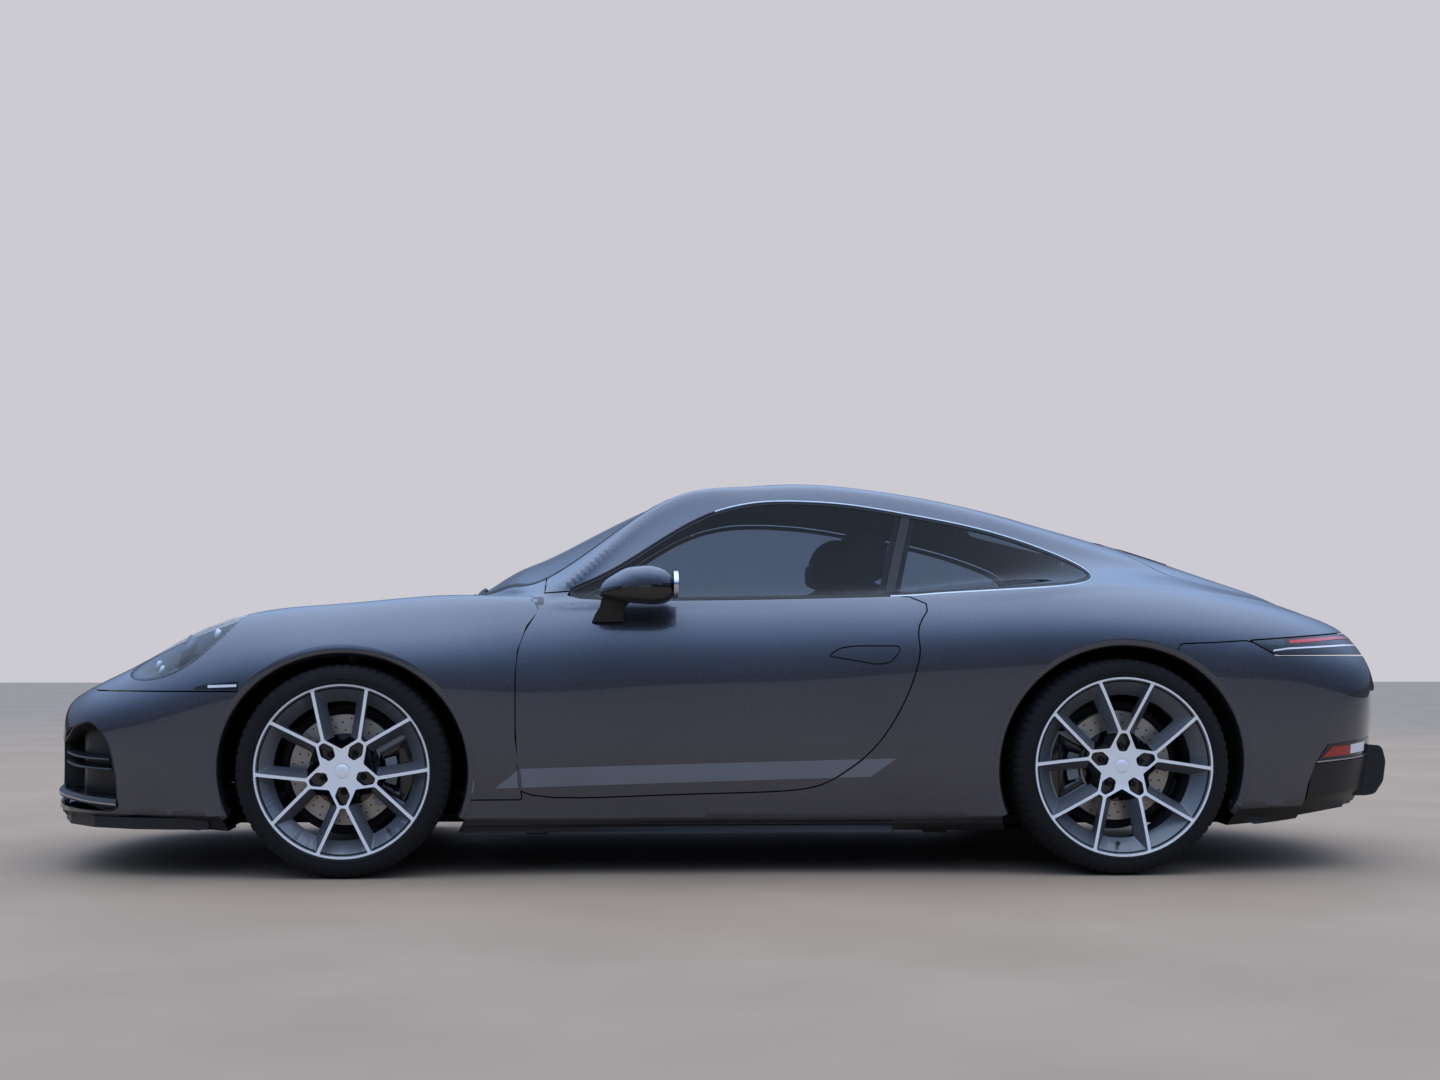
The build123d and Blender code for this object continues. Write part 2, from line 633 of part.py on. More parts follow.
def cabin():
    """Dashboard with console, steering wheel, seats and rear bench."""
    face = [(-650, 800), (-600, 838), (-340, 846), (-262, 800), (-262, 720), (-330, 610),
            (-560, 560), (-650, 600)]
    dash = side_prism(face, out(-650), out(650))
    console = side_prism([(-560, 400), (-330, 615), (-120, 470), (330, 440), (380, 300),
                          (380, 162), (-560, 162)], out(-115), out(115))
    nodes["dashboard"] = dash + console
    hub = Vector(fore(-150), out(-370), up(765))
    away = Vector(0.92, 0, 0.39).normalized()
    rim = Solid.make_torus(185, 15, Plane(hub, z_dir=away))
    spokes = box(-170, 170, -22, 22, -12, 12) + box(-20, 20, -170, 0, -12, 12)
    spokes = Plane(hub, x_dir=(0, 1, 0), z_dir=away).location * spokes
    column = Solid.make_cylinder(32, 150, Plane(hub - away * 150, z_dir=away))
    nodes["steering_wheel"] = (rim + spokes + column) - nodes["dashboard"]
    cushion = [(-150, 300), (-104, 378), (230, 345), (430, 300), (330, 162), (-100, 162)]
    back = [(292, 345), (298, 600), (323, 898), (345, 950), (556, 950), (560, 850), (520, 640),
            (430, 270), (300, 300)]
    head = [(340, 940), (398, 1107), (430, 1140), (500, 1140), (535, 1090), (556, 940)]
    right = side_prism(cushion, out(150), out(600)) + side_prism(back, out(175), out(575))
    right = right + side_prism(head, out(250), out(500))
    nodes["front_seats"] = Compound([first(right), swap(first(right))])
    bench = [(560, 162), (560, 390), (800, 360), (880, 700), (984, 760), (984, 162)]
    nodes["rear_bench"] = side_prism(bench, out(-545), out(545))


def engine_and_exhaust():
    """Engine block behind the rear axle line, silencer and tailpipes."""
    block = box(fore(1320), fore(1880), out(-380), out(380), up(215), up(640))
    gearbox = box(fore(1010), fore(1330), out(-170), out(170), subframe_top, up(480))
    shafts = across(rear_axle, -rear_shaft_end, rear_shaft_end, rear_tyre_radius, 16)
    nodes["engine_block"] = (block + gearbox + shafts) - nodes["rear_knuckles"]
    silencer = box(fore(1900), fore(2080), out(-480), out(480), up(355), up(540))
    pipes = silencer
    for y in (-pipe_y, pipe_y):
        pipes = pipes + rod((fore(1990), out(y * 0.72), up(400)), (fore(2060), out(y), up(pipe_z)), 40)
        pipes = pipes + rod((fore(2040), out(y), up(pipe_z)), (fore(2165), out(y), up(pipe_z)),
                            pipe_radius)
    pipes = pipes + box(fore(1870), fore(1910), out(-60), out(60), up(400), up(500))
    nodes["exhaust"] = first(pipes - nodes["rear_bumper"] - nodes["diffuser"]
                             - nodes["engine_block"])


# ---- running gear ----------------------------------------------------------------
def revolved(profile, axle, centre_y, z):
    """Solid turned round a wheel's axis from (radius, y from centre) points."""
    face = polygon([(axle, centre_y + y, z + r) for r, y in profile])
    return Solid.revolve(face, 360, Axis((axle, centre_y, z), (0, 1, 0)))


def tyre(axle, centre_y, z, radius, width, rim_radius, rim_width):
    """Hollow tyre with its beads between the rim's flanges."""
    half, bead = width / 2, rim_width / 2 - flange_wall
    seat = rim_radius - flange_height
    outside = [(seat, bead - 2), (rim_radius, bead), (rim_radius + 5, half - 4),
               (rim_radius + 28, half), (radius - 16, half - 8), (radius - 5, half - 20),
               (radius, half - 44)]
    inside = [(radius - 22, half - 44), (radius - 26, half - 28), (rim_radius + 14, half - 18),
              (seat, bead - 16)]
    profile = outside + [(r, -y) for r, y in reversed(outside)]
    profile = profile + [(r, -y) for r, y in reversed(inside)] + inside
    return revolved(profile, axle, centre_y, z)


def rim(axle, centre_y, z, rim_radius, width, turn):
    """Barrel, hub and five twin spokes, for the right side."""
    half = width / 2
    seat = rim_radius - flange_height
    bead = half - flange_wall
    barrel = revolved([(rim_radius, -half), (rim_radius, -bead), (seat, 2 - bead),
                       (seat, bead - 2), (rim_radius, bead), (rim_radius, half),
                       (seat - rim_wall, half), (seat - rim_wall, -half)],
                      axle, centre_y, z)
    face = centre_y + half - 12
    back = face - rim_depth
    hub = across(axle, back, face - 14, z, 98)
    wheel = barrel + hub
    reach = seat - rim_wall / 2
    for k in range(spoke_pairs):
        for lean in (-18, 18):
            start = math.radians(turn + 360 / spoke_pairs * k)
            end = start + math.radians(lean)
            a = (math.sin(start) * 82, math.cos(start) * 82)
            b = (math.sin(end) * reach, math.cos(end) * reach)
            wheel = wheel + spoke(axle, z, a, b, back, face)
    wheel = wheel - across(axle, back - 1, face, z, 36)
    for k in range(wheel_bolts):
        at = math.radians(turn + 360 / wheel_bolts * k)
        x, dz = math.sin(at) * bolt_circle / 2, math.cos(at) * bolt_circle / 2
        wheel = wheel - across(axle + x, back - 1, face + 1, z + dz, bolt_hole_radius)
    return first(wheel)


def spoke(axle, z, a, b, back, face):
    """Tapered bar between two points of the wheel's face."""
    run = Vector(b[0] - a[0], 0, b[1] - a[1])
    side = run.normalized().cross(Vector(0, 1, 0))
    start = Vector(axle + a[0], back, z + a[1])
    end = Vector(axle + b[0], back, z + b[1])
    corners = [start + side * 13, end + side * 11, end - side * 11, start - side * 13]
    bar = Solid.extrude(Face(Wire.make_polygon(corners, close=True)),
                        Vector(0, face - back, 0))
    return bar


def disc(axle, z, hub_face):
    """Brake disc and its hat, which seats on the wheel's back."""
    inboard = hub_face - hat_depth
    profile = [(spindle_radius + running_clearance, hub_face), (hat_radius, hub_face),
               (hat_radius, inboard), (disc_radius, inboard),
               (disc_radius, inboard - disc_thickness), (hat_radius - 14, inboard - disc_thickness),
               (hat_radius - 14, hub_face - 12), (spindle_radius + running_clearance, hub_face - 12)]
    return revolved(profile, axle, 0, z)


def caliper(axle, z, hub_face, side):
    """Saddle over the disc, ahead (-1) or behind (+1) of the axle."""
    inboard = hub_face - hat_depth
    y0 = inboard - disc_thickness - 44
    y1 = inboard + 40
    outer = 232 - 6
    block = across(axle, y0, y1, z, outer) - across(axle, y0, y1, z, 118)
    wedge = box(axle + side * 96, axle + side * outer, y0, y1, z - 110, z + 110) if side > 0 \
        else box(axle - outer, axle - 96, y0, y1, z - 110, z + 110)
    slot = across(axle, inboard - disc_thickness - caliper_clearance,
                  inboard + caliper_clearance, z, disc_radius + caliper_clearance)
    return first((block & wedge) - slot)


def front_corner():
    """Right front wheel, brake, knuckle and strut; the left is its mirror."""
    z = front_tyre_radius
    centre = front_track / 2
    hub_face = centre + front_rim_width / 2 - 12 - rim_depth
    nodes["tyre_front_right"] = tyre(front_axle, centre, z, front_tyre_radius,
                                     front_tyre_width, front_rim_radius, front_rim_width)
    nodes["rim_front_right"] = rim(front_axle, centre, z, front_rim_radius, front_rim_width, 36)
    nodes["disc_front_right"] = disc(front_axle, z, hub_face)
    knuckle = across(front_axle, hub_face - hat_depth - disc_thickness - 30, hub_face - 2, z,
                     spindle_radius)
    hub_y = hub_face - hat_depth - disc_thickness - 30
    upright = rod(kingpin_point(z=240), kingpin_point(z=470), 40)
    knuckle = knuckle + across(front_axle, hub_y - 24, hub_y + 24, z, 62) + upright
    low, high = kingpin_point(z=150), kingpin_point(z=480)
    knuckle = knuckle - rod(low, kingpin_point(z=280), 16 + seat_clearance)
    knuckle = knuckle - rod(kingpin_point(z=400), high, 26 + seat_clearance)
    arm = box(front_axle + 60, front_axle + 190, hub_y - 22, hub_y + 10, z - 20, z + 20)
    steer_arm = box(front_axle + 30, front_axle + 150, hub_y - 60, hub_y - 26, z - 60, z - 36)
    saddle = caliper(front_axle, z, hub_face, 1)
    knuckle = knuckle + arm + saddle + steer_arm
    knuckle = knuckle - across(front_axle, hub_face - hat_depth - disc_thickness - 5,
                               hub_face + 200, z, disc_radius + caliper_clearance) \
        + (knuckle & across(front_axle, -far, far, z, spindle_radius)) + saddle
    nodes["knuckle_front_right"] = first(knuckle)
    strut = rod(kingpin_point(z=402), kingpin_point(z=700), 26)
    spring = rod(kingpin_point(z=690), kingpin_point(z=800), 54)
    nodes["front_struts"] = Compound([strut + spring, swap(strut + spring)])


def rear_corner():
    """Right rear wheel, brake and fixed knuckle; the left is its mirror."""
    z = rear_tyre_radius
    centre = rear_track / 2
    hub_face = centre + rear_rim_width / 2 - 12 - rim_depth
    nodes["tyre_rear_right"] = tyre(rear_axle, centre, z, rear_tyre_radius,
                                    rear_tyre_width, rear_rim_radius, rear_rim_width)
    nodes["rim_rear_right"] = rim(rear_axle, centre, z, rear_rim_radius, rear_rim_width, -6)
    nodes["disc_rear_right"] = disc(rear_axle, z, hub_face)
    hub_y = hub_face - hat_depth - disc_thickness - 30
    knuckle = across(rear_axle, hub_y, hub_face - 2, z, spindle_radius)
    knuckle = knuckle + across(rear_axle, hub_y - 60, hub_y, z, 70)
    bracket = box(rear_axle - 190, rear_axle - 40, hub_y - 40, hub_y - 8, z - 25, z + 25)
    knuckle = knuckle + bracket + caliper(rear_axle, z, hub_face, -1)
    return first(knuckle)


def suspension(rear_knuckle):
    """Subframes with their arms, and the rear knuckles they hold."""
    z = front_tyre_radius
    foot = kingpin_point(z=200)
    cross = box(front_axle - 60, front_axle + 60, -400, 400, floor_top, floor_top + 80)
    arm = rod((front_axle - 40, 380, floor_top + 45), foot, 20)
    pin = rod(kingpin_point(z=172), kingpin_point(z=276), 16)
    ear = rod(kingpin_point(z=178), kingpin_point(z=216), 34)
    rack = across(front_axle + 160, -420, 420, z - 48, 22)
    posts = box(front_axle + 40, front_axle + 190, -330, -300, floor_top, z - 50) \
        + box(front_axle + 40, front_axle + 190, 300, 330, floor_top, z - 50)
    nodes["front_subframe"] = first(cross + arm + swap(arm) + pin + swap(pin) + ear
                                    + swap(ear) + posts + rack)
    z = rear_tyre_radius
    hub_y = rear_track / 2 + rear_rim_width / 2 - 12 - rim_depth - hat_depth - disc_thickness - 30
    beam = box(rear_axle - 90, rear_axle + 60, -430, 430, floor_top, subframe_top)
    arms = beam
    for x, dz in ((-60, -40), (40, 40)):
        link = rod((rear_axle + x, 400, floor_top + 60), (rear_axle + x * 0.5, hub_y - 30, z + dz), 18)
        arms = arms + link + swap(link)
    knuckles = rear_knuckle + swap(rear_knuckle)
    nodes["rear_subframe"] = first(arms - knuckles)
    nodes["rear_knuckles"] = Compound([rear_knuckle, swap(rear_knuckle)])
    damper = rod((rear_axle + 20, hub_y - 66, z + 60), (rear_axle + 30, 520, up(760)), 30)
    damper = first(damper - rear_knuckle - nodes["rear_subframe"])
    nodes["rear_struts"] = Compound([damper, swap(damper)])


doors()
front_panels()
grille()
splitter()
body_sides()
roof()
windows()
mirrors()
tail_panels()
floor_and_bulkheads()
front_corner()
suspension(rear_corner())
wheel_liners()
luggage_tub()
cabin()
engine_and_exhaust()
for name in ("tyre_front", "rim_front", "disc_front", "knuckle_front", "tyre_rear",
             "rim_rear", "disc_rear"):
    nodes[name + "_left"] = swap(nodes[name + "_right"])

os.makedirs("parts", exist_ok=True)
for name, shape in nodes.items():
    export_step(shape, f"parts/{name}.step")
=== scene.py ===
"""Coupe car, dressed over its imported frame.

Lengths are in millimetres while a shape is worked out and in metres in a mesh.
+X runs to the tail, +Y to the car's right, +Z up.
"""
from __future__ import annotations

import json
import logging
import math
from dataclasses import dataclass, field
from enum import Enum
from typing import Callable, Iterable, Sequence

import bmesh
import bpy
import numpy as np
from mathutils import Matrix, Vector

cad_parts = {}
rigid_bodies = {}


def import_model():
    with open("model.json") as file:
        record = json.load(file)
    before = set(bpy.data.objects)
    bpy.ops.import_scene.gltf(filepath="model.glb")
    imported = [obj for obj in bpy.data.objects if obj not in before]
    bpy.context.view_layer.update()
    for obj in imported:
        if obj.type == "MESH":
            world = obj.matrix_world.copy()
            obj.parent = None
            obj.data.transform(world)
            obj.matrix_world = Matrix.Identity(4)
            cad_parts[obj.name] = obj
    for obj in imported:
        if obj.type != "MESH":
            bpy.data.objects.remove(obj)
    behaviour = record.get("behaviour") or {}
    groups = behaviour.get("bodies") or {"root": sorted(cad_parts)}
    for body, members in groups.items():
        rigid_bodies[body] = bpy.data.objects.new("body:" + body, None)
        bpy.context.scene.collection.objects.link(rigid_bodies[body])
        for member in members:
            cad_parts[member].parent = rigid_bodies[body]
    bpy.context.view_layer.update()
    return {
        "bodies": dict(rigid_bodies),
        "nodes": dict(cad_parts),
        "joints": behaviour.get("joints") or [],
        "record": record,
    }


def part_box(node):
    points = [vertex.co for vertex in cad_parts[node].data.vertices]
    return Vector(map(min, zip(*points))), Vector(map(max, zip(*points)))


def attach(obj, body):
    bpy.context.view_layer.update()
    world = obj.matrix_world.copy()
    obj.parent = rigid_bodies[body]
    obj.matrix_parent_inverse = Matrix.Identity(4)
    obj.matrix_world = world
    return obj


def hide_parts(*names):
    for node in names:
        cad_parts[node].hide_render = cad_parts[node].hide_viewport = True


LOG = logging.getLogger("coupe")
MM = 0.001

Outline = Sequence[tuple[float, float]]

# x, then y, z of: floor edge, sill, low side, widest, upper side, crest, valley;
# last the height of the middle line
LOWER = (
    (-2271, 150, 196, 190, 215, 205, 290, 212, 380, 200, 440, 150, 468, 90, 476, 478),
    (-2240, 320, 186, 365, 205, 345, 290, 345, 390, 332, 468, 270, 512, 160, 524, 528),
    (-2160, 570, 178, 630, 205, 618, 300, 620, 410, 580, 504, 470, 555, 330, 572, 578),
    (-2050, 690, 168, 748, 205, 765, 310, 775, 430, 750, 530, 640, 598, 450, 612, 616),
    (-1900, 768, 160, 818, 205, 845, 320, 856, 455, 835, 580, 715, 664, 500, 680, 682),
    (-1720, 800, 152, 860, 200, 885, 330, 893, 480, 878, 640, 735, 772, 520, 750, 752),
    (-1560, 820, 146, 885, 195, 905, 340, 912, 500, 900, 690, 730, 832, 530, 790, 793),
    (-1241, 820, 140, 895, 190, 918, 350, 926, 520, 912, 730, 725, 864, 540, 842, 850),
    (-950, 800, 138, 870, 190, 900, 350, 908, 520, 898, 730, 740, 878, 560, 882, 895),
    (-700, 780, 136, 850, 185, 885, 350, 893, 500, 885, 730, 770, 874, 600, 880, 886),
    (-300, 770, 136, 842, 185, 877, 350, 886, 520, 880, 735, 790, 882, 600, 880, 880),
    (200, 770, 136, 842, 185, 880, 350, 891, 540, 885, 745, 795, 889, 600, 885, 885),
    (560, 775, 137, 852, 185, 892, 350, 904, 560, 899, 765, 802, 898, 600, 895, 895),
    (850, 785, 138, 875, 190, 908, 360, 918, 580, 912, 790, 800, 910, 620, 915, 915),
    (1209, 800, 142, 895, 200, 920, 370, 926, 600, 918, 800, 792, 905, 620, 935, 960),
    (1550, 800, 152, 885, 215, 912, 380, 920, 600, 902, 780, 770, 872, 600, 910, 950),
    (1800, 760, 168, 845, 230, 880, 390, 892, 590, 868, 745, 720, 834, 540, 862, 884),
    (2000, 660, 192, 750, 250, 800, 400, 818, 565, 780, 695, 620, 785, 430, 812, 830),
    (2150, 440, 218, 530, 266, 580, 400, 592, 540, 560, 640, 420, 718, 300, 746, 752),
    (2235, 250, 248, 320, 296, 375, 400, 388, 520, 360, 592, 280, 645, 200, 658, 662),
    (2271, 150, 290, 190, 330, 220, 400, 230, 490, 210, 545, 160, 576, 110, 584, 586),
)
# x, then y, z of: base, waist, rail, roof edge; last the height of the middle line
UPPER = (
    (-885, 100, 840, 100, 866, 98, 884, 60, 888, 892),
    (-780, 450, 840, 450, 866, 445, 892, 370, 922, 966),
    (-700, 620, 840, 620, 862, 615, 888, 530, 938, 1015),
    (-611, 745, 840, 745, 852, 742, 869, 670, 930, 1060),
    (-400, 776, 840, 765, 885, 684, 1030, 620, 1082, 1158),
    (-150, 778, 840, 765, 887, 596, 1194, 530, 1226, 1246),
    (50, 778, 840, 765, 888, 590, 1206, 505, 1251, 1283),
    (200, 778, 840, 765, 889, 588, 1209, 500, 1260, 1293),
    (420, 776, 840, 763, 890, 588, 1198, 500, 1247, 1284),
    (650, 768, 840, 755, 895, 580, 1164, 495, 1215, 1254),
    (850, 748, 840, 735, 905, 566, 1122, 480, 1176, 1216),
    (1050, 712, 840, 700, 920, 545, 1062, 455, 1126, 1174),
    (1250, 665, 840, 655, 930, 522, 1000, 430, 1071, 1124),
    (1450, 630, 840, 620, 915, 500, 955, 400, 1014, 1062),
    (1650, 590, 840, 580, 870, 480, 912, 380, 950, 982),
    (1800, 550, 820, 540, 840, 450, 878, 350, 894, 906),
    (1900, 480, 780, 470, 800, 400, 830, 300, 842, 850),
)
NOSE, TAIL = -2271.0, 2271.0
FRONT_AXLE, REAR_AXLE = -1241.0, 1209.0
FRONT_HUB, REAR_HUB = 334.0, 343.0
PLAN_CORNER = 60.0
# the headlamp's oval, and where rays on to it start and surely end
LAMP_RADII = (205, 130)
LAMP_START, LAMP_REACH = 260, 420
# the lip radius that the wheels' profiles are drawn for
DRAWN_LIP = 272

DOOR = [(-615, 900), (-615, 858), (-669, 787), (-698, 707), (-705, 620), (-705, 440),
        (-694, 350), (-685, 249), (-279, 256), (21, 262), (171, 270), (272, 291),
        (371, 357), (451, 437), (522, 562), (557, 667), (564, 727), (547, 808), (529, 900)]
DAYLIGHT = [(-514, 874), (-438, 931), (-273, 1042), (-167, 1108), (-60, 1160), (47, 1186),
            (154, 1196), (365, 1188), (564, 1155), (750, 1123), (918, 1081), (1046, 1037),
            (1132, 999), (1170, 960), (1119, 937), (995, 919), (592, 898), (493, 890)]
WINDSCREEN_HALF = [(-866, 0), (-846, 200), (-788, 400), (-706, 548), (-645, 622),
                   (-400, 594), (-175, 506), (-160, 250), (-155, 0)]
REAR_WINDOW_HALF = [(905, 0), (915, 300), (960, 425), (1150, 405), (1310, 370), (1310, 0)]
FRONT_LID_HALF = [(-2075, 0), (-2060, 250), (-2010, 400), (-1900, 490), (-1560, 530),
                  (-1100, 560), (-800, 585), (-845, 400), (-882, 200), (-890, 0)]
REAR_LID_HALF = [(1340, 0), (1340, 400), (1500, 540), (1790, 600), (1870, 660), (1990, 600),
                 (2090, 450), (2145, 250), (2155, 0)]
BUMPER_SIDE = [(-2400, 700), (-2105, 700), (-2060, 583), (-1537, 583), (-1537, 60), (-2400, 60)]
REAR_BUMPER_SIDE = [(1380, 60), (1380, 731), (1500, 735), (1611, 742), (1704, 692), (1997, 694),
                    (2400, 694), (2400, 60)]
LAMP_SIDE = [(1611, 742), (1704, 692), (1997, 694), (2400, 694), (2400, 768), (1997, 768)]
REAR_CORNER = [(2030, 576), (1950, 567), (1914, 552), (1885, 521), (1870, 471), (1853, 374),
               (1817, 261), (1817, 60), (2400, 60), (2400, 576)]
REAR_BLACK = [(1800, 60), (1836, 328), (1846, 350), (2100, 366), (2400, 372), (2400, 60)]
INTAKE_FRONT = [(345, 225), (801, 205), (822, 303), (828, 381), (823, 432), (806, 466),
                (773, 488), (700, 470), (345, 400)]
HANDLE = [(275, 692), (312, 717), (358, 724), (500, 724), (500, 706), (471, 672), (426, 666),
          (346, 681)]
MIDDLE_INTAKE = [(-300, 215), (300, 215), (300, 300), (-300, 300)]


# ---- numbers and meshes ---------------------------------------------------------
def natural_cubic(knots: np.ndarray, rows: np.ndarray, at: np.ndarray) -> np.ndarray:
    """Natural cubic spline through rows of values.

    Args:
        knots: increasing parameter of each row.
        rows: one row of values per knot.
        at: parameters to evaluate.

    Returns:
        One row of values per parameter.
    """
    count, gap = len(knots), np.diff(knots)
    matrix, right = np.eye(count), np.zeros_like(rows)
    for i in range(1, count - 1):
        matrix[i, i - 1:i + 2] = gap[i - 1], 2 * (gap[i - 1] + gap[i]), gap[i]
        right[i] = 6 * ((rows[i + 1] - rows[i]) / gap[i] - (rows[i] - rows[i - 1]) / gap[i - 1])
    bend = np.linalg.solve(matrix, right)
    k = np.clip(np.searchsorted(knots, at) - 1, 0, count - 2)
    a = ((knots[k + 1] - at) / gap[k])[:, None]
    b = 1 - a
    step = gap[k][:, None] ** 2 / 6
    return a * rows[k] + b * rows[k + 1] + ((a ** 3 - a) * bend[k] + (b ** 3 - b) * bend[k + 1]) * step


def smooth_ring(points: np.ndarray, fine: int, correct: float = 1.0) -> np.ndarray:
    """Closed cubic B-spline near the given points.

    Args:
        points: (..., n, 2 or 3) corner points of the closed ring.
        fine: samples per point.
        correct: how far the curve is drawn back on to the points, 0 to 1.

    Returns:
        (..., n * fine, same) points of the curve, starting near the first.
    """
    before, after = np.roll(points, 1, -2), np.roll(points, -1, -2)
    knots = points + correct * (points - (before + 4 * points + after) / 6)
    u = (np.arange(fine) / fine)[:, None]
    weights = ((1 - u) ** 3 / 6, (3 * u ** 3 - 6 * u ** 2 + 4) / 6,
               (-3 * u ** 3 + 3 * u ** 2 + 3 * u + 1) / 6, u ** 3 / 6)
    curve = sum(w * np.roll(knots, 1 - j, -2)[..., :, None, :] for j, w in enumerate(weights))
    return curve.reshape(*points.shape[:-2], points.shape[-2] * fine, points.shape[-1])


def rounded(outline: Outline, fine: int = 6, correct: float = 0.8) -> list[tuple[float, float]]:
    """A closed outline with its corners eased."""
    ring = smooth_ring(np.array(outline, float), fine, correct)
    return [tuple(p) for p in ring]


def eased(outline: Outline, radius: float, fine: int = 5) -> list[tuple[float, float]]:
    """A closed polygon whose corners are turned with a radius.

    Args:
        outline: corners of the polygon.
        radius: distance from a corner to where its curve starts.
        fine: points in each curve.

    Returns:
        Points of the eased polygon.
    """
    points, out = np.array(outline, float), []
    for i, corner in enumerate(points):
        arms = []
        for other in (points[i - 1], points[(i + 1) % len(points)]):
            run = other - corner
            size = max(float(np.linalg.norm(run)), 1e-6)
            arms.append(corner + run * min(radius / size, 0.45))
        for k in range(fine + 1):
            t = k / fine
            out.append(tuple((1 - t) ** 2 * arms[0] + 2 * t * (1 - t) * corner + t * t * arms[1]))
    return out


def both_sides(half: Outline) -> list[tuple[float, float]]:
    """A plan outline from its right half."""
    return list(half) + [(x, -y) for x, y in reversed(half) if y]


def plan_shape(half: Outline, by: float) -> list[tuple[float, float]]:
    """A plan outline from its right half, with eased corners and grown by a distance."""
    return grown(eased(both_sides(half), PLAN_CORNER), by)


def grown(outline: Outline, by: float) -> list[tuple[float, float]]:
    """A closed outline moved outwards by a distance, or inwards if negative."""
    points = np.array(outline, float)
    keep = np.linalg.norm(points - np.roll(points, 1, 0), axis=1) > 1e-6
    points = points[keep]
    run = np.roll(points, -1, 0) - points
    after = np.roll(points, -1, 0)
    area = float(np.sum(points[:, 0] * after[:, 1] - points[:, 1] * after[:, 0]))
    out = np.stack([run[:, 1], -run[:, 0]], 1) / np.linalg.norm(run, axis=1)[:, None]
    out *= math.copysign(1, area)
    mean = out + np.roll(out, 1, 0)
    mean /= np.maximum(np.sum(mean * mean, 1) / 2, 0.35)[:, None]
    return [tuple(p) for p in points + mean * by]


def shifted(line: Outline, by: float) -> np.ndarray:
    """An open line moved to its left by a distance."""
    points = np.array(line, float)
    run = np.gradient(points, axis=0)
    run /= np.linalg.norm(run, axis=1)[:, None]
    return points + np.stack([-run[:, 1], run[:, 0]], 1) * by


def resampled(line: Outline | np.ndarray, count: int) -> np.ndarray:
    """An open line at even steps along it."""
    points = np.array(line, float)
    at = np.concatenate([[0], np.cumsum(np.linalg.norm(np.diff(points, axis=0), axis=1))])
    to = np.linspace(0, at[-1], count)
    return np.stack([np.interp(to, at, points[:, k]) for k in range(points.shape[1])], 1)


def grid_faces(rows: int, columns: int, wrap_rows: bool = False, wrap_columns: bool = False,
               start: int = 0) -> np.ndarray:
    """Quads of a grid of points stored row by row."""
    r = np.arange(rows if wrap_rows else rows - 1)[:, None]
    c = np.arange(columns if wrap_columns else columns - 1)[None, :]
    r1, c1 = (r + 1) % rows, (c + 1) % columns
    quads = np.stack(np.broadcast_arrays(r * columns + c, r1 * columns + c, r1 * columns + c1,
                                         r * columns + c1), -1)
    return quads.reshape(-1, 4) + start


def new_mesh(name: str, points: np.ndarray, faces: Sequence[Sequence[int]] | np.ndarray,
             smooth: bool = True) -> bpy.types.Object:
    """Makes an object from points in millimetres.

    Args:
        name: the piece's name.
        points: (n, 3) points.
        faces: quads as an array, or lists of any length.
        smooth: whether the faces are shaded smooth.

    Returns:
        The linked object, at the origin.
    """
    mesh = bpy.data.meshes.new(name)
    data = np.asarray(points, float) * MM
    mesh.from_pydata(data.tolist(), [], [list(map(int, f)) for f in faces])
    mesh.validate()
    mesh.update()
    mesh.shade_smooth() if smooth else mesh.shade_flat()
    piece = bpy.data.objects.new(name, mesh)
    bpy.context.scene.collection.objects.link(piece)
    return piece


def prism(name: str, outline: Outline, axis: str, low: float, high: float) -> bpy.types.Object:
    """A straight prism over an outline, for cutting.

    Args:
        name: a name for the cutter.
        outline: points in the plane across the axis.
        axis: "x", "y" or "z".
        low: start along the axis.
        high: end along the axis.

    Returns:
        The closed prism.
    """
    flat = np.array(outline, float)
    place = {"x": (1, 2, 0), "y": (0, 2, 1), "z": (0, 1, 2)}[axis]
    points = np.zeros((2 * len(flat), 3))
    for k, level in enumerate((low, high)):
        part = points[k * len(flat):(k + 1) * len(flat)]
        part[:, place[0]], part[:, place[1]], part[:, place[2]] = flat[:, 0], flat[:, 1], level
    count = len(flat)
    sides = [(i, (i + 1) % count, count + (i + 1) % count, count + i) for i in range(count)]
    piece = new_mesh(name, points, [*sides, tuple(range(count))[::-1], tuple(range(count, 2 * count))],
                     smooth=False)
    face_outwards(piece)
    return piece


def face_outwards(piece: bpy.types.Object) -> None:
    """Turns every face of a closed piece to point outwards."""
    work = bmesh.new()
    work.from_mesh(piece.data)
    bmesh.ops.recalc_face_normals(work, faces=work.faces)
    work.to_mesh(piece.data)
    work.free()


def closed_piece(name: str, points: np.ndarray, faces: Sequence[Sequence[int]] | np.ndarray,
                 sharp: float = 0.0, material: bpy.types.Material | None = None) -> bpy.types.Object:
    """Makes a closed piece with its faces outwards.

    Args:
        name: the piece's name.
        points: (n, 3) points in millimetres.
        faces: its faces.
        sharp: edges that turn by more degrees than this stay sharp; 0 leaves all smooth.
        material: what it wears.

    Returns:
        The piece.
    """
    piece = new_mesh(name, points, faces)
    face_outwards(piece)
    if sharp:
        piece.data.set_sharp_from_angle(angle=math.radians(sharp))
    if material:
        piece.data.materials.append(material)
    return piece


def ring_faces(rings: int, count: int) -> list[tuple[int, ...]]:
    """Faces of rings of points set one after another, with both ends capped."""
    faces = [tuple(q) for q in grid_faces(rings, count, wrap_columns=True)]
    return [*faces, tuple(range(count)), tuple(range(count * (rings - 1), count * rings))]


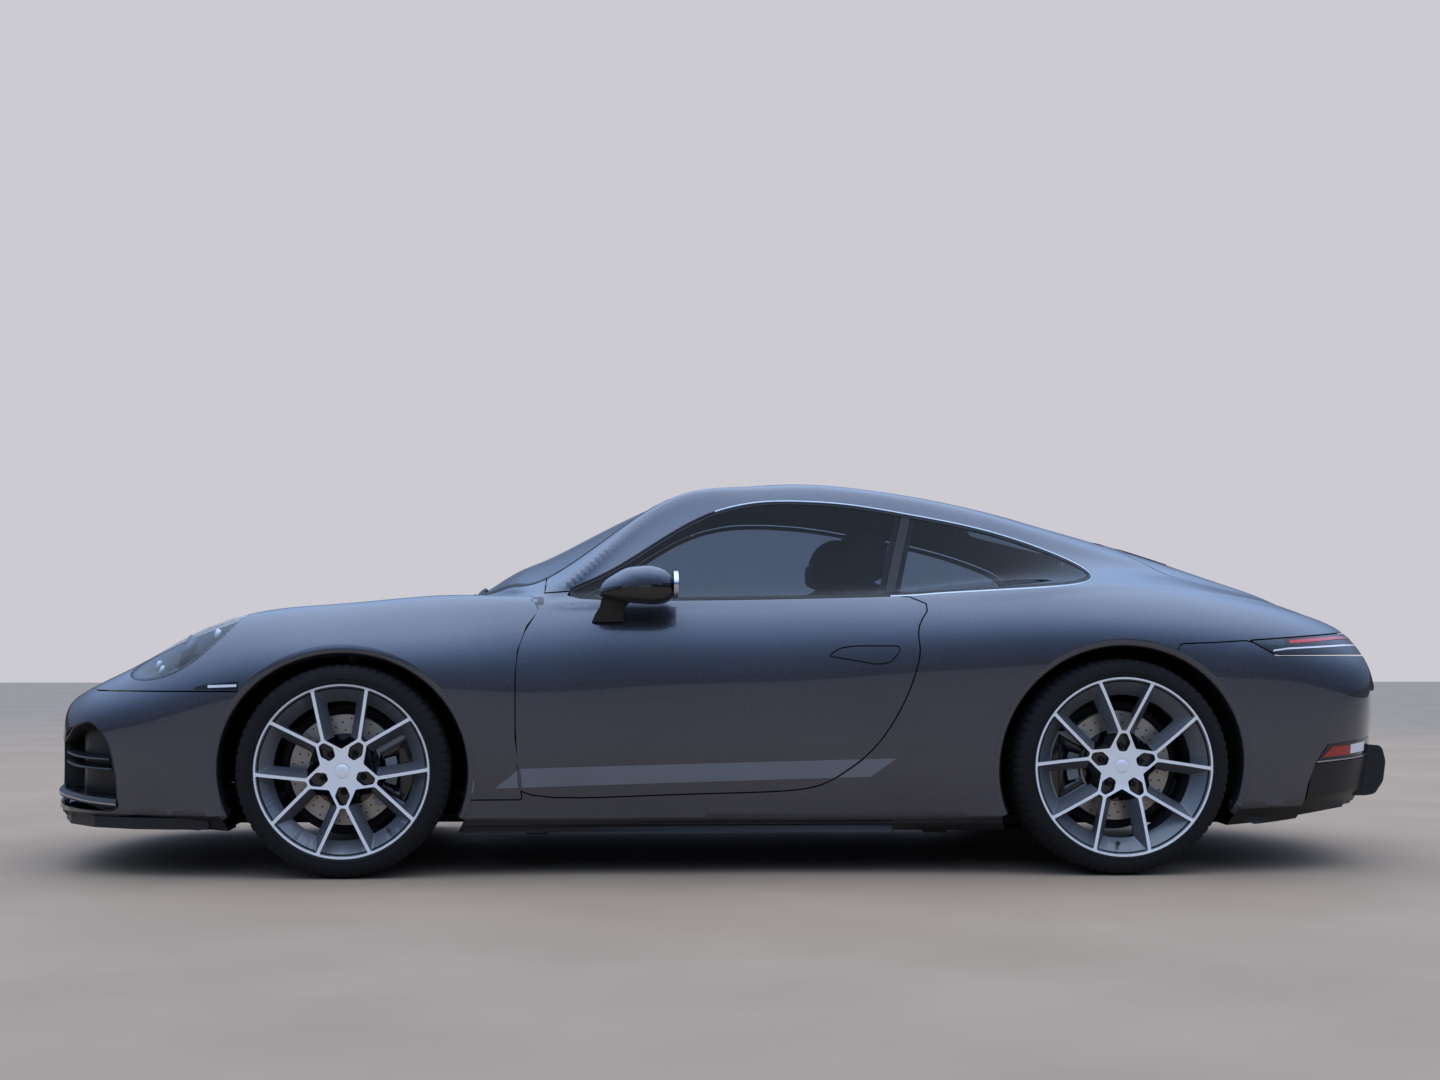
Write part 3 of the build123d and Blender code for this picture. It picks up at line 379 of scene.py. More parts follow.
def lofted(name: str, rings: Sequence[np.ndarray], sharp: float = 0.0,
           material: bpy.types.Material | None = None) -> bpy.types.Object:
    """A closed piece through rings of points; see closed_piece for the rest."""
    faces = ring_faces(len(rings), len(rings[0]))
    return closed_piece(name, np.concatenate(rings), faces, sharp, material)


def both(right: bpy.types.Object) -> bpy.types.Object:
    """Adds a piece's mirror image across the middle plane to it."""
    work = bmesh.new()
    work.from_mesh(right.data)
    copy = bmesh.ops.duplicate(work, geom=work.verts[:] + work.edges[:] + work.faces[:])["geom"]
    bmesh.ops.scale(work, vec=(1, -1, 1), verts=[g for g in copy if isinstance(g, bmesh.types.BMVert)])
    bmesh.ops.reverse_faces(work, faces=[g for g in copy if isinstance(g, bmesh.types.BMFace)])
    work.to_mesh(right.data)
    work.free()
    return right


def mirrored(piece: bpy.types.Object, name: str) -> bpy.types.Object:
    """A new piece, the mirror image of another across the middle plane."""
    mesh = piece.data.copy()
    mesh.transform(Matrix.Scale(-1, 4, (0, 1, 0)))
    mesh.flip_normals()
    copy = bpy.data.objects.new(name, mesh)
    bpy.context.scene.collection.objects.link(copy)
    return copy


def vectors(items: bpy.types.bpy_prop_collection, key: str) -> np.ndarray:
    """A vector property of every item of a mesh, row by row."""
    flat = np.empty(len(items) * 3)
    items.foreach_get(key, flat)
    return flat.reshape(-1, 3)


def integers(items: bpy.types.bpy_prop_collection, key: str) -> np.ndarray:
    """A whole-number property of every item of a mesh."""
    flat = np.empty(len(items), int)
    items.foreach_get(key, flat)
    return flat


def flipped(piece: bpy.types.Object) -> bpy.types.Object:
    """Turns a right piece into its mirror image on the left."""
    piece.data.transform(Matrix.Scale(-1, 4, (0, 1, 0)))
    piece.data.flip_normals()
    return piece


class Cut(Enum):
    """What a cutter does to a piece."""

    KEEP = "INTERSECT"
    REMOVE = "DIFFERENCE"
    ADD = "UNION"


def carve(piece: bpy.types.Object, steps: Iterable[tuple[Cut, bpy.types.Object]]) -> bpy.types.Object:
    """Applies cutters to a piece in turn.

    Args:
        piece: the piece, whose mesh is replaced.
        steps: what to do, and the closed cutter to do it with.

    Returns:
        The same piece.
    """
    for action, cutter in steps:
        cut = piece.modifiers.new("cut", "BOOLEAN")
        cut.solver, cut.operation, cut.object = "MANIFOLD", action.value, cutter
    settle(piece)
    return piece


def settle(piece: bpy.types.Object) -> bpy.types.Object:
    """Applies a piece's modifiers to its mesh."""
    graph = bpy.context.evaluated_depsgraph_get()
    result = bpy.data.meshes.new_from_object(piece.evaluated_get(graph), depsgraph=graph)
    piece.modifiers.clear()
    old, piece.data = piece.data, result
    bpy.data.meshes.remove(old)
    return piece


def copied(piece: bpy.types.Object, name: str) -> bpy.types.Object:
    """A new piece with a copy of another's mesh."""
    copy = bpy.data.objects.new(name, piece.data.copy())
    bpy.context.scene.collection.objects.link(copy)
    return copy


def discard(*pieces: bpy.types.Object) -> None:
    """Removes work objects from the scene."""
    for piece in pieces:
        mesh = piece.data
        bpy.data.objects.remove(piece)
        if mesh is not None and mesh.users == 0:
            bpy.data.meshes.remove(mesh)


# ---- finishes ---------------------------------------------------------------------
def linear(code: str) -> tuple[float, float, float, float]:
    """An sRGB hex colour as linear red, green, blue and alpha."""
    values = [int(code[i:i + 2], 16) / 255 for i in (0, 2, 4)]
    return (*[v / 12.92 if v <= 0.04045 else ((v + 0.055) / 1.055) ** 2.4 for v in values], 1.0)


def shaded(code: str, by: float) -> tuple[float, float, float, float]:
    """An sRGB hex colour in linear light, made lighter or darker by a factor."""
    return (*[min(1.0, c * by) for c in linear(code)[:3]], 1.0)


def feed(node: bpy.types.Node, **inputs: object) -> bpy.types.Node:
    """Sets or links a shader node's inputs.

    Args:
        node: the node.
        inputs: values or output sockets by input name, spaces as underscores;
            a name like _0 picks the input by number.

    Returns:
        The same node.
    """
    for key, value in inputs.items():
        number = key[1:] if key.startswith("_") else ""
        socket = node.inputs[int(number) if number.isdigit() else key.replace("_", " ")]
        if isinstance(value, bpy.types.NodeSocket):
            node.id_data.links.new(value, socket)
        else:
            socket.default_value = value
    return node


def add_node(owner: bpy.types.Material | bpy.types.World, kind: str,
             settings: dict[str, object] | None = None, **inputs: object) -> bpy.types.Node:
    """Adds a shader node.

    Args:
        owner: the material or world whose tree gets the node.
        kind: the node's type name without the ShaderNode prefix.
        settings: properties of the node.
        inputs: as in feed.

    Returns:
        The new node.
    """
    node = owner.node_tree.nodes.new("ShaderNode" + kind)
    for key, value in (settings or {}).items():
        setattr(node, key, value)
    return feed(node, **inputs)


def blend(owner: bpy.types.Material, share: object, one: object, two: object,
          **settings: object) -> bpy.types.NodeSocket:
    """Mixes two colours by a share and gives the mixed one."""
    node = add_node(owner, "Mix", {"data_type": "RGBA", **settings}, _0=share, _6=one, _7=two)
    return node.outputs[2]


def blank(name: str) -> tuple[bpy.types.Material, bpy.types.Node]:
    """A new material with only its principled shader, and that shader."""
    material = bpy.data.materials.new(name)
    material.use_nodes = True
    material.node_tree.nodes.clear()
    shader = add_node(material, "BsdfPrincipled")
    add_node(material, "OutputMaterial", Surface=shader.outputs["BSDF"])
    return material, shader


def per_mm(size: float) -> float:
    """Texture scale that gives features of a size in millimetres."""
    return 1000.0 / size


@dataclass(frozen=True)
class MetallicPaint:
    """Sprayed metallic base under clear lacquer: fine flake glints, wet reflections."""

    name: str = "metallic_lacquer_slate"
    base: str = "575b66"
    deep: str = "484c57"
    flake_mm: float = 1.6

    def make(self) -> bpy.types.Material:
        """Builds the material."""
        material, shader = blank(self.name)
        place = add_node(material, "TexCoord").outputs["Object"]
        # real flakes are 0.05 mm; drawn coarser so that they show
        flake = add_node(material, "TexVoronoi", Vector=place, Scale=per_mm(self.flake_mm))
        drift = add_node(material, "TexNoise", Vector=place, Scale=per_mm(420), Detail=3.0)
        tone = blend(material, drift.outputs["Fac"], linear(self.deep), linear(self.base))
        glint = blend(material, 0.22, tone, flake.outputs["Color"], blend_type="SOFT_LIGHT")
        rough = add_node(material, "MapRange", Value=flake.outputs["Color"], _3=0.24, _4=0.34)
        peel = add_node(material, "TexNoise", Vector=place, Scale=per_mm(7), Detail=1.0)
        skin = add_node(material, "Bump", Height=peel.outputs["Fac"], Strength=0.012, Distance=0.001)
        feed(shader, Base_Color=glint, Roughness=rough.outputs[0], Coat_Normal=skin.outputs[0],
             Metallic=0.85, Coat_Weight=1.0, Coat_Roughness=0.025, Coat_IOR=1.5)
        return material


@dataclass(frozen=True)
class Moulding:
    """Injection-moulded plastic or rubber with a fine grain: matt, slightly uneven."""

    name: str
    colour: str
    rough: float = 0.55
    grain_mm: float = 1.2
    depth: float = 0.25
    metallic: float = 0.0
    coat: float = 0.0
    spread: float = 0.12

    def make(self) -> bpy.types.Material:
        """Builds the material."""
        material, shader = blank(self.name)
        place = add_node(material, "TexCoord").outputs["Object"]
        grain = add_node(material, "TexNoise", Vector=place, Scale=per_mm(self.grain_mm), Detail=3.0)
        cloud = add_node(material, "TexNoise", Vector=place, Scale=per_mm(180), Detail=4.0)
        tone = blend(material, cloud.outputs["Fac"], shaded(self.colour, 1 - self.spread),
                     shaded(self.colour, 1 + self.spread))
        rough = add_node(material, "MapRange", Value=cloud.outputs["Fac"],
                         _3=max(0.02, self.rough - 0.08), _4=min(1.0, self.rough + 0.08))
        bump = add_node(material, "Bump", Height=grain.outputs["Fac"], Strength=self.depth,
                        Distance=0.0006)
        feed(shader, Base_Color=tone, Roughness=rough.outputs[0], Normal=bump.outputs[0],
             Metallic=self.metallic, Coat_Weight=self.coat, Coat_Roughness=0.08)
        return material


@dataclass(frozen=True)
class CarGlass:
    """Tinted float glass: a green-grey cast, clear at right angles, glossy along it."""

    name: str
    tint: str
    ior: float = 1.55

    def make(self) -> bpy.types.Material:
        """Builds the material."""
        material = bpy.data.materials.new(self.name)
        material.use_nodes = True
        material.node_tree.nodes.clear()
        place = add_node(material, "TexCoord").outputs["Object"]
        film = add_node(material, "TexNoise", Vector=place, Scale=per_mm(600), Detail=1.0)
        tone = blend(material, film.outputs["Fac"], linear(self.tint), shaded(self.tint, 1.08))
        # only the outer face tints, so that a pane with two faces tints once
        behind = add_node(material, "NewGeometry").outputs["Backfacing"]
        once = blend(material, behind, tone, (1.0, 1.0, 1.0, 1.0))
        clear = add_node(material, "BsdfTransparent", Color=once)
        gloss = add_node(material, "BsdfPrincipled", Roughness=0.0, Metallic=1.0,
                         Base_Color=linear("f4f6f8"))
        mirror = add_node(material, "Fresnel", IOR=self.ior)
        front = add_node(material, "Math", {"operation": "SUBTRACT"}, _0=1.0, _1=behind)
        share = add_node(material, "Math", {"operation": "MULTIPLY"}, _0=mirror.outputs[0],
                         _1=front.outputs[0])
        mix = add_node(material, "MixShader", _0=share.outputs[0], _1=clear.outputs[0],
                       _2=gloss.outputs[0])
        add_node(material, "OutputMaterial", Surface=mix.outputs[0])
        return material


class Finishes:
    """Every material of the car, made once."""

    def __init__(self) -> None:
        """Builds the materials."""
        self.paint = MetallicPaint().make()
        self.black = Moulding("satin_black_plastic", "14161a", 0.42, 0.9, 0.2).make()
        self.gloss_black = Moulding("gloss_black_plastic", "08090b", 0.12, 4.0, 0.02, coat=0.6).make()
        self.liner = Moulding("felted_liner", "0d0e10", 0.9, 2.0, 0.8).make()
        self.rubber = Moulding("tyre_rubber", "050506", 0.9, 1.0, 0.35).make()
        self.seal = Moulding("seal_rubber", "0b0c0e", 0.6, 0.8, 0.2).make()
        self.leather = Moulding("grained_leather", "16171b", 0.5, 1.4, 0.5).make()
        self.carpet = Moulding("cut_pile_carpet", "121316", 0.95, 2.2, 1.0).make()
        self.chassis = Moulding("dipped_steel", "0d0e10", 0.7, 3.0, 0.2).make()
        self.cast = Moulding("cast_aluminium", "8b9096", 0.5, 1.8, 0.5, metallic=0.85).make()
        # the machined faces are drawn near white and mostly diffuse, with little metal, so that they look
        # as bright as where they catch the sky: a painted reflection
        self.machined = Moulding("machined_aluminium_painted_reflection", "f6f7f9", 0.3, 1.5, 0.05, metallic=0.25,
                                 coat=0.5, spread=0.03).make()
        self.rim_grey = Moulding("lacquered_alloy_grey", "62666d", 0.4, 1.4, 0.1, metallic=0.4,
                                 coat=0.6).make()
        self.disc = Moulding("ground_iron", "b9b2a8", 0.38, 0.9, 0.25, metallic=0.85).make()
        self.chrome = Moulding("polished_steel", "dfe2e6", 0.08, 6.0, 0.02, metallic=1.0,
                               spread=0.02).make()
        self.bright = Moulding("satin_bright_trim", "aeb4bd", 0.22, 6.0, 0.02, metallic=1.0,
                               spread=0.02).make()
        self.dark_chrome = Moulding("dark_chromed_steel", "5a5d63", 0.14, 6.0, 0.02, metallic=1.0).make()
        self.headlining = Moulding("brushed_headlining", "17181b", 0.95, 1.5, 0.6).make()
        self.decal = Moulding("satin_grey_film", "777a82", 0.4, 6.0, 0.02, metallic=0.3).make()
        self.led = Moulding("light_guide", "e6e9ee", 0.25, 5.0, 0.02, coat=0.5, spread=0.02).make()
        self.mirror = Moulding("mirror_glass", "c9d2dc", 0.02, 8.0, 0.0, metallic=1.0, spread=0.01).make()
        self.tail_red = Moulding("red_light_guide", "c0121a", 0.12, 5.0, 0.05, coat=0.9).make()
        self.reflector = Moulding("red_reflector", "a8060a", 0.15, 3.0, 0.3, coat=0.8).make()
        self.glass = CarGlass("tinted_side_glass", "8f9dae", 1.26).make()
        self.screen = CarGlass("windscreen_glass", "8fa6bd", 1.6).make()
        self.lens = CarGlass("clear_lens", "dfe6ec").make()

    def wear(self, piece: bpy.types.Object, material: bpy.types.Material) -> None:
        """Gives a piece one material."""
        if not piece.data.materials:
            piece.data.materials.append(material)
        for slot in piece.material_slots:
            slot.material = material


# ---- the body's form ----------------------------------------------------------------
def smooth_max(a: np.ndarray, b: np.ndarray, reach: np.ndarray) -> np.ndarray:
    """The larger of two values, eased over where they are within reach."""
    h = np.maximum(reach - np.abs(a - b), 0) / reach
    return np.maximum(a, b) + h ** 3 * reach / 6


@dataclass
class BodyForm:
    """The closed outer form, as a radius round a spine in the middle plane."""

    spacing: float = 15.0
    fine_step: float = 1.0
    cabin_blend: float = 26.0
    tail_blend: float = 170.0
    x: np.ndarray = field(init=False)
    spine: np.ndarray = field(init=False)
    angle: np.ndarray = field(init=False)
    points: np.ndarray = field(init=False)
    normals: np.ndarray = field(init=False)
    radius: np.ndarray = field(init=False)

    def __post_init__(self) -> None:
        """Works out the form's grid of points and normals."""
        table = np.array(LOWER, float)
        run = np.diff(table[:, [0, 7, 15]], axis=0)
        t = np.concatenate([[0], np.cumsum(np.linalg.norm(run, axis=1))])
        at = np.linspace(0, t[-1], int(t[-1] / self.spacing))
        rows = natural_cubic(t, table, at)
        self.x = np.maximum.accumulate(rows[:, 0])
        self.spine = (rows[:, 2] + rows[:, 15]) / 2
        self.angle = np.radians(np.concatenate([
            np.arange(-90, -34, 5), np.arange(-34, 90, self.fine_step), [90]]))
        low = self._polar(self._lower_sections(rows))
        high = self._upper_radius()
        reach = np.interp(self.x, [-560, -350, 500, 1000], [64, self.cabin_blend, self.cabin_blend,
                                                             self.tail_blend])[:, None]
        self.radius = smooth_max(low, high, reach)
        y = self.radius * np.cos(self.angle)
        z = self.spine[:, None] + self.radius * np.sin(self.angle)
        x = np.broadcast_to(self.x[:, None], y.shape)
        self.points = np.stack([x, y, z], -1)
        along = np.gradient(self.points, axis=0)
        across = np.gradient(self.points, axis=1)
        normal = np.cross(across, along)
        normal[:, 0] = normal[:, 0] * (1, 0, 1)
        normal[:, -1] = normal[:, -1] * (1, 0, 1)
        normal /= np.maximum(np.linalg.norm(normal, axis=-1, keepdims=True), 1e-9)
        outward = np.sign(np.sum(normal * np.stack([0 * y, y, z - self.spine[:, None]], -1), -1))
        self.normals = normal * np.where(outward == 0, 1, outward)[..., None]

    def _lower_sections(self, rows: np.ndarray) -> np.ndarray:
        """Smooth half sections of the lower body."""
        pairs = rows[:, 1:15].reshape(len(rows), 7, 2)
        middle_low = np.stack([np.zeros(len(rows)), rows[:, 2]], -1)[:, None]
        middle_top = np.stack([np.zeros(len(rows)), rows[:, 15]], -1)[:, None]
        doubled = [middle_low, pairs[:, :1], pairs[:, :1], pairs[:, 1:2], pairs[:, 1:2], pairs[:, 2:],
                   middle_top]
        return self._closed(np.concatenate(doubled, 1))

    def _closed(self, half: np.ndarray) -> np.ndarray:
        """A smooth curve round a half section and its mirror image; its right half."""
        ring = np.concatenate([half, half[:, -2:0:-1] * (-1, 1)], 1)
        fine = 20
        curve = smooth_ring(ring, fine)
        return curve[:, :(half.shape[1] - 1) * fine + 1]

    def _polar(self, sections: np.ndarray) -> np.ndarray:
        """Radii of sections round the spine at the form's angles."""
        out = np.zeros((len(self.x), len(self.angle)))
        for i, section in enumerate(sections):
            angle = np.arctan2(section[:, 1] - self.spine[i], section[:, 0])
            angle[section[:, 0] < 1e-6] = math.copysign(math.pi / 2, 1)
            angle[0] = -math.pi / 2
            angle = np.maximum.accumulate(angle)
            size = np.hypot(section[:, 0], section[:, 1] - self.spine[i])
            out[i] = np.interp(self.angle, angle, size)
        return out

    def _upper_radius(self) -> np.ndarray:
        """Radii of the cabin and fast back, zero where there is none."""
        table = np.array(UPPER, float)
        run = np.diff(table[:, [0, 3, 9]], axis=0)
        t = np.concatenate([[0], np.cumsum(np.linalg.norm(run, axis=1))])
        rows = natural_cubic(t, table, np.linspace(0, t[-1], 900))
        inside = (self.x > rows[0, 0]) & (self.x < rows[-1, 0])
        columns = np.stack([np.interp(self.x, rows[:, 0], rows[:, k]) for k in range(10)], 1)
        out = np.zeros((len(self.x), len(self.angle)))
        for i in np.nonzero(inside)[0]:
            row = columns[i]
            half = np.array([(0, row[2]), *row[1:9].reshape(4, 2), (0, row[9])])
            curve = self._closed(half[None])[0]
            first = int(np.argmax(curve[:, 0]))
            curve = curve[first:]
            angle = np.arctan2(curve[:, 1] - self.spine[i], np.maximum(curve[:, 0], 0))
            angle = np.maximum.accumulate(angle)
            size = np.hypot(curve[:, 0], curve[:, 1] - self.spine[i])
            radius = np.interp(self.angle, angle, size)
            below = self.angle < angle[0]
            radius[below] = size[0] * (1 - 5 * (angle[0] - self.angle[below]))
            out[i] = np.maximum(radius, 0)
        return out

    def shell(self, name: str, inset: float = 0.0, stride: int = 1) -> bpy.types.Object:
        """The closed form, drawn in along its normals.

        Args:
            name: a name for the object.
            inset: how far it is drawn in.
            stride: takes every so many stations and angles.

        Returns:
            The closed mesh.
        """
        rows = np.unique(np.r_[0:len(self.x):stride, len(self.x) - 1])
        columns = np.unique(np.r_[0:len(self.angle):stride, len(self.angle) - 1])
        right = (self.points - self.normals * inset)[rows][:, columns]
        right[:, 0, 1] = 0
        right[:, -1, 1] = 0
        right[0, :, 0] = NOSE + inset
        right[-1, :, 0] = TAIL - inset
        right[..., 0] = np.clip(right[..., 0], NOSE + inset, TAIL - inset)
        left = right[:, -2:0:-1] * (1, -1, 1)
        ring = np.concatenate([right, left], 1)
        count, around = ring.shape[:2]
        ends = np.array([ring[0].mean(0), ring[-1].mean(0)])
        points = np.concatenate([ring.reshape(-1, 3), ends])
        faces = [tuple(f) for f in grid_faces(count, around, wrap_columns=True)]
        hub, last = count * around, (count - 1) * around
        for k in range(around):
            after = (k + 1) % around
            faces.append((hub, k, after))
            faces.append((hub + 1, last + after, last + k))
        return closed_piece(name, points, faces)

    def at(self, x: np.ndarray, y: np.ndarray, z: np.ndarray) -> tuple[np.ndarray, np.ndarray]:
        """How deep points lie under the form, and the form's normal over each.

        Args:
            x: positions along the car.
            y: positions across it.
            z: heights.

        Returns:
            Depths in millimetres along the radius, and unit normals.
        """
        row = np.interp(x, self.x, np.arange(len(self.x)))
        spine = np.interp(x, self.x, self.spine)
        angle = np.arctan2(z - spine, np.abs(y))
        column = np.interp(angle, self.angle, np.arange(len(self.angle)))
        i = np.clip(row.astype(int), 0, len(self.x) - 2)
        j = np.clip(column.astype(int), 0, len(self.angle) - 2)
        u, v = row - i, column - j

        def mixed(grid: np.ndarray) -> np.ndarray:
            """Bilinear value of a grid at the points."""
            a, b = (u, v) if grid.ndim == 2 else (u[:, None], v[:, None])
            return ((1 - a) * (1 - b) * grid[i, j] + a * (1 - b) * grid[i + 1, j]
                    + (1 - a) * b * grid[i, j + 1] + a * b * grid[i + 1, j + 1])

        normal = mixed(self.normals)
        normal[:, 1] *= np.where(y < 0, -1, 1)
        normal /= np.maximum(np.linalg.norm(normal, axis=1, keepdims=True), 1e-9)
        return mixed(self.radius) - np.hypot(y, z - spine), normal

    def cast(self, start: np.ndarray, way: Sequence[float], reach: float) -> tuple[np.ndarray, np.ndarray]:
        """Where rays from outside meet the form.

        Args:
            start: (n, 3) points outside the form.
            way: unit direction of the rays.
            reach: how far along a ray surely lies inside.

        Returns:
            The points met and the form's normals there.
        """
        way = np.array(way, float)
        low, high = np.zeros(len(start)), np.full(len(start), float(reach))
        for _ in range(26):
            middle = (low + high) / 2
            spot = start + way * middle[:, None]
            depth = np.minimum(self.at(*spot.T)[0], np.minimum(TAIL - spot[:, 0], spot[:, 0] - NOSE))
            inside = depth > 0
            high, low = np.where(inside, middle, high), np.where(inside, low, middle)
        spot = start + way * high[:, None]
        return spot, self.at(*spot.T)[1]

    def mapped(self, flat: Outline | np.ndarray, view: str) -> tuple[np.ndarray, np.ndarray]:
        """Points and normals of the form under a drawing of it.

        Args:
            flat: (n, 2) places: (x, z) for "side", (x, y) for "plan", (y, z) for
                "front" and "rear".
            view: which drawing.

        Returns:
            The points on the right half or as drawn, and their normals.
        """
        a, b = np.array(flat, float).T
        if view == "side":
            return self.cast(np.stack([a, np.full(len(a), 1100.0), b], 1), (0, -1, 0), 800)
        if view == "plan":
            return self.cast(np.stack([a, b, np.full(len(a), 1500.0)], 1), (0, 0, -1), 1100)
        end, way = (NOSE - 100, 1) if view == "front" else (TAIL + 100, -1)
        return self.cast(np.stack([np.full(len(a), end), a, b], 1), (way, 0, 0), 900)

    def polish(self, piece: bpy.types.Object, inset: float = 0.0, slack: float = 1.2,
               angle: float = 32.0) -> None:
        """Gives the faces that lie on the form its own normals, so seams stay even."""
        mesh = piece.data
        mesh.shade_smooth()
        mesh.set_sharp_from_angle(angle=math.radians(angle))
        mesh.update()
        depth, normal = self.at(*(vectors(mesh.vertices, "co") / MM).T)
        corner = integers(mesh.loops, "vertex_index")
        split = vectors(mesh.corner_normals, "vector")
        owner = np.repeat(vectors(mesh.polygons, "normal"), integers(mesh.polygons, "loop_total"), axis=0)
        reach = inset * 1.9 + slack
        on_form = (depth[corner] > inset - slack) & (depth[corner] < reach) \
            & (np.sum(owner * normal[corner], 1) > 0.9)
        split[on_form] = normal[corner][on_form]
        mesh.normals_split_custom_set(split.tolist())


# ---- layers of the body ---------------------------------------------------------------
@dataclass
class Skin:
    """Layers that follow the form: paint, glass, seals and trim are all cut from them."""

    form: BodyForm
    finishes: Finishes
    closed: dict[tuple[object, ...], bpy.types.Object] = field(default_factory=dict)

    def solid(self, inset: float, stride: int = 1, span: tuple[float, ...] = ()) -> bpy.types.Object:
        """The closed form at a depth, kept for further cuts; span crops it to x and z limits."""
        key = (inset, stride, span)
        if key not in self.closed:
            if span:
                x0, x1, z0, z1 = span
                block = plate([(x0, z0), (x1, z0), (x1, z1), (x0, z1)], "y", -1300, 1300)
                piece = copied(self.solid(inset, stride), "solid")
                self.closed[key] = carve(piece, [(Cut.KEEP, block)])
                discard(block)
            else:
                self.closed[key] = self.form.shell("solid", inset, stride)
        return self.closed[key]

    def layer(self, name: str, top: float, bottom: float, steps: Iterable[tuple[Cut, bpy.types.Object]],
              stride: int = 2, span: tuple[float, ...] = ()) -> bpy.types.Object:
        """A piece of the layer between two depths.

        Args:
            name: the piece's name.
            top: depth of its outer face under the form.
            bottom: depth of its inner face.
            steps: cutters that bound it.
            stride: coarseness of its inner face.
            span: x and z limits that hold the piece, to cut faster.

        Returns:
            The piece.
        """
        piece = copied(self.solid(top, 1, span), name)
        return carve(piece, [*steps, (Cut.REMOVE, self.solid(bottom, stride))])

    def band(self, name: str, outline: Outline, view: str, profile: Outline, material: bpy.types.Material,
             closed: bool = True, pair: bool = False) -> bpy.types.Object:
        """A bar swept along an outline on the form.

        Args:
            name: the piece's name.
            outline: the drawn line.
            view: the drawing it belongs to.
            profile: closed loop of (distance outwards, depth under the form).
            material: what it wears.
            closed: whether the outline closes on itself.
            pair: whether it is copied to the left.

        Returns:
            The bar.
        """
        rings = []
        for by, depth in profile:
            flat = np.array(grown(outline, by) if closed else shifted(outline, by))
            spot, normal = self.form.mapped(flat, view)
            rings.append(spot - normal * depth)
        grid = np.stack(rings, 1)
        count, around = grid.shape[:2]
        faces = grid_faces(count, around, True, True) if closed else ring_faces(count, around)
        piece = closed_piece(name, grid.reshape(-1, 3), faces, 35, material)
        return both(piece) if pair else piece

    def patch(self, name: str, one: Outline, two: Outline, view: str, top: float, bottom: float,
              material: bpy.types.Material, pair: bool = True, steps: tuple[int, int] = (40, 6)
              ) -> bpy.types.Object:
        """A slab on the form between two drawn edges.

        Args:
            name: the piece's name.
            one: one edge.
            two: the other edge, drawn the same way along.
            view: the drawing they belong to.
            top: depth of its outer face under the form; negative stands proud.
            bottom: depth of its inner face.
            material: what it wears.
            pair: whether it is copied to the left.
            steps: points along and across.

        Returns:
            The slab.
        """
        a, b = resampled(one, steps[0]), resampled(two, steps[0])
        share = np.linspace(0, 1, steps[1])[None, :, None]
        flat = a[:, None] * (1 - share) + b[:, None] * share
        spot, normal = self.form.mapped(flat.reshape(-1, 2), view)
        layers = [spot - normal * depth for depth in (top, bottom)]
        count, wide = steps
        size = count * wide
        upper = grid_faces(count, wide)
        rim = [*range(wide), *range(2 * wide - 1, size, wide), *range(size - 2, size - wide - 1, -1),
               *range(size - 2 * wide, 0, -wide)]
        faces = [tuple(f) for f in upper] + [tuple(f[::-1] + size) for f in upper]
        faces += [(rim[i - 1], rim[i], rim[i] + size, rim[i - 1] + size) for i in range(len(rim))]
        piece = closed_piece(name, np.concatenate(layers), faces, 40, material)
        return both(piece) if pair else piece

    def dress(self, piece: bpy.types.Object, material: bpy.types.Material, depth: float = 0.0,
              angle: float = 30.0) -> bpy.types.Object:
        """Shades a piece of a layer and gives it its material."""
        self.form.polish(piece, depth, angle=angle)
        self.finishes.wear(piece, material)
        return piece

    def close(self) -> None:
        """Removes the kept solids."""
        discard(*self.closed.values())
        self.closed.clear()


def plate(outline: Outline, axis: str, low: float, high: float, pair: bool = False) -> bpy.types.Object:
    """A cutter over an outline; with pair, one on each side of the car."""
    piece = prism("cutter", outline, axis, low, high)
    return both(piece) if pair else piece


# x and z limits that hold the panels of a part of the body
HOOD_SPAN, DOOR_SPAN, LID_SPAN = (-2290, -700, 400, 1000), (-760, 620, 200, 960), (1250, 2290, 560, 1200)
GLASS_SPAN = (-900, 1400, 820, 1350)
TAIL_SPAN, HANDLE_SPAN = (1700, 2290, 60, 620), (200, 560, 600, 780)
INTAKE_SPAN = (-2290, -1850, 150, 560)
SHEET, BEHIND_SHEET = 11.0, 11.6
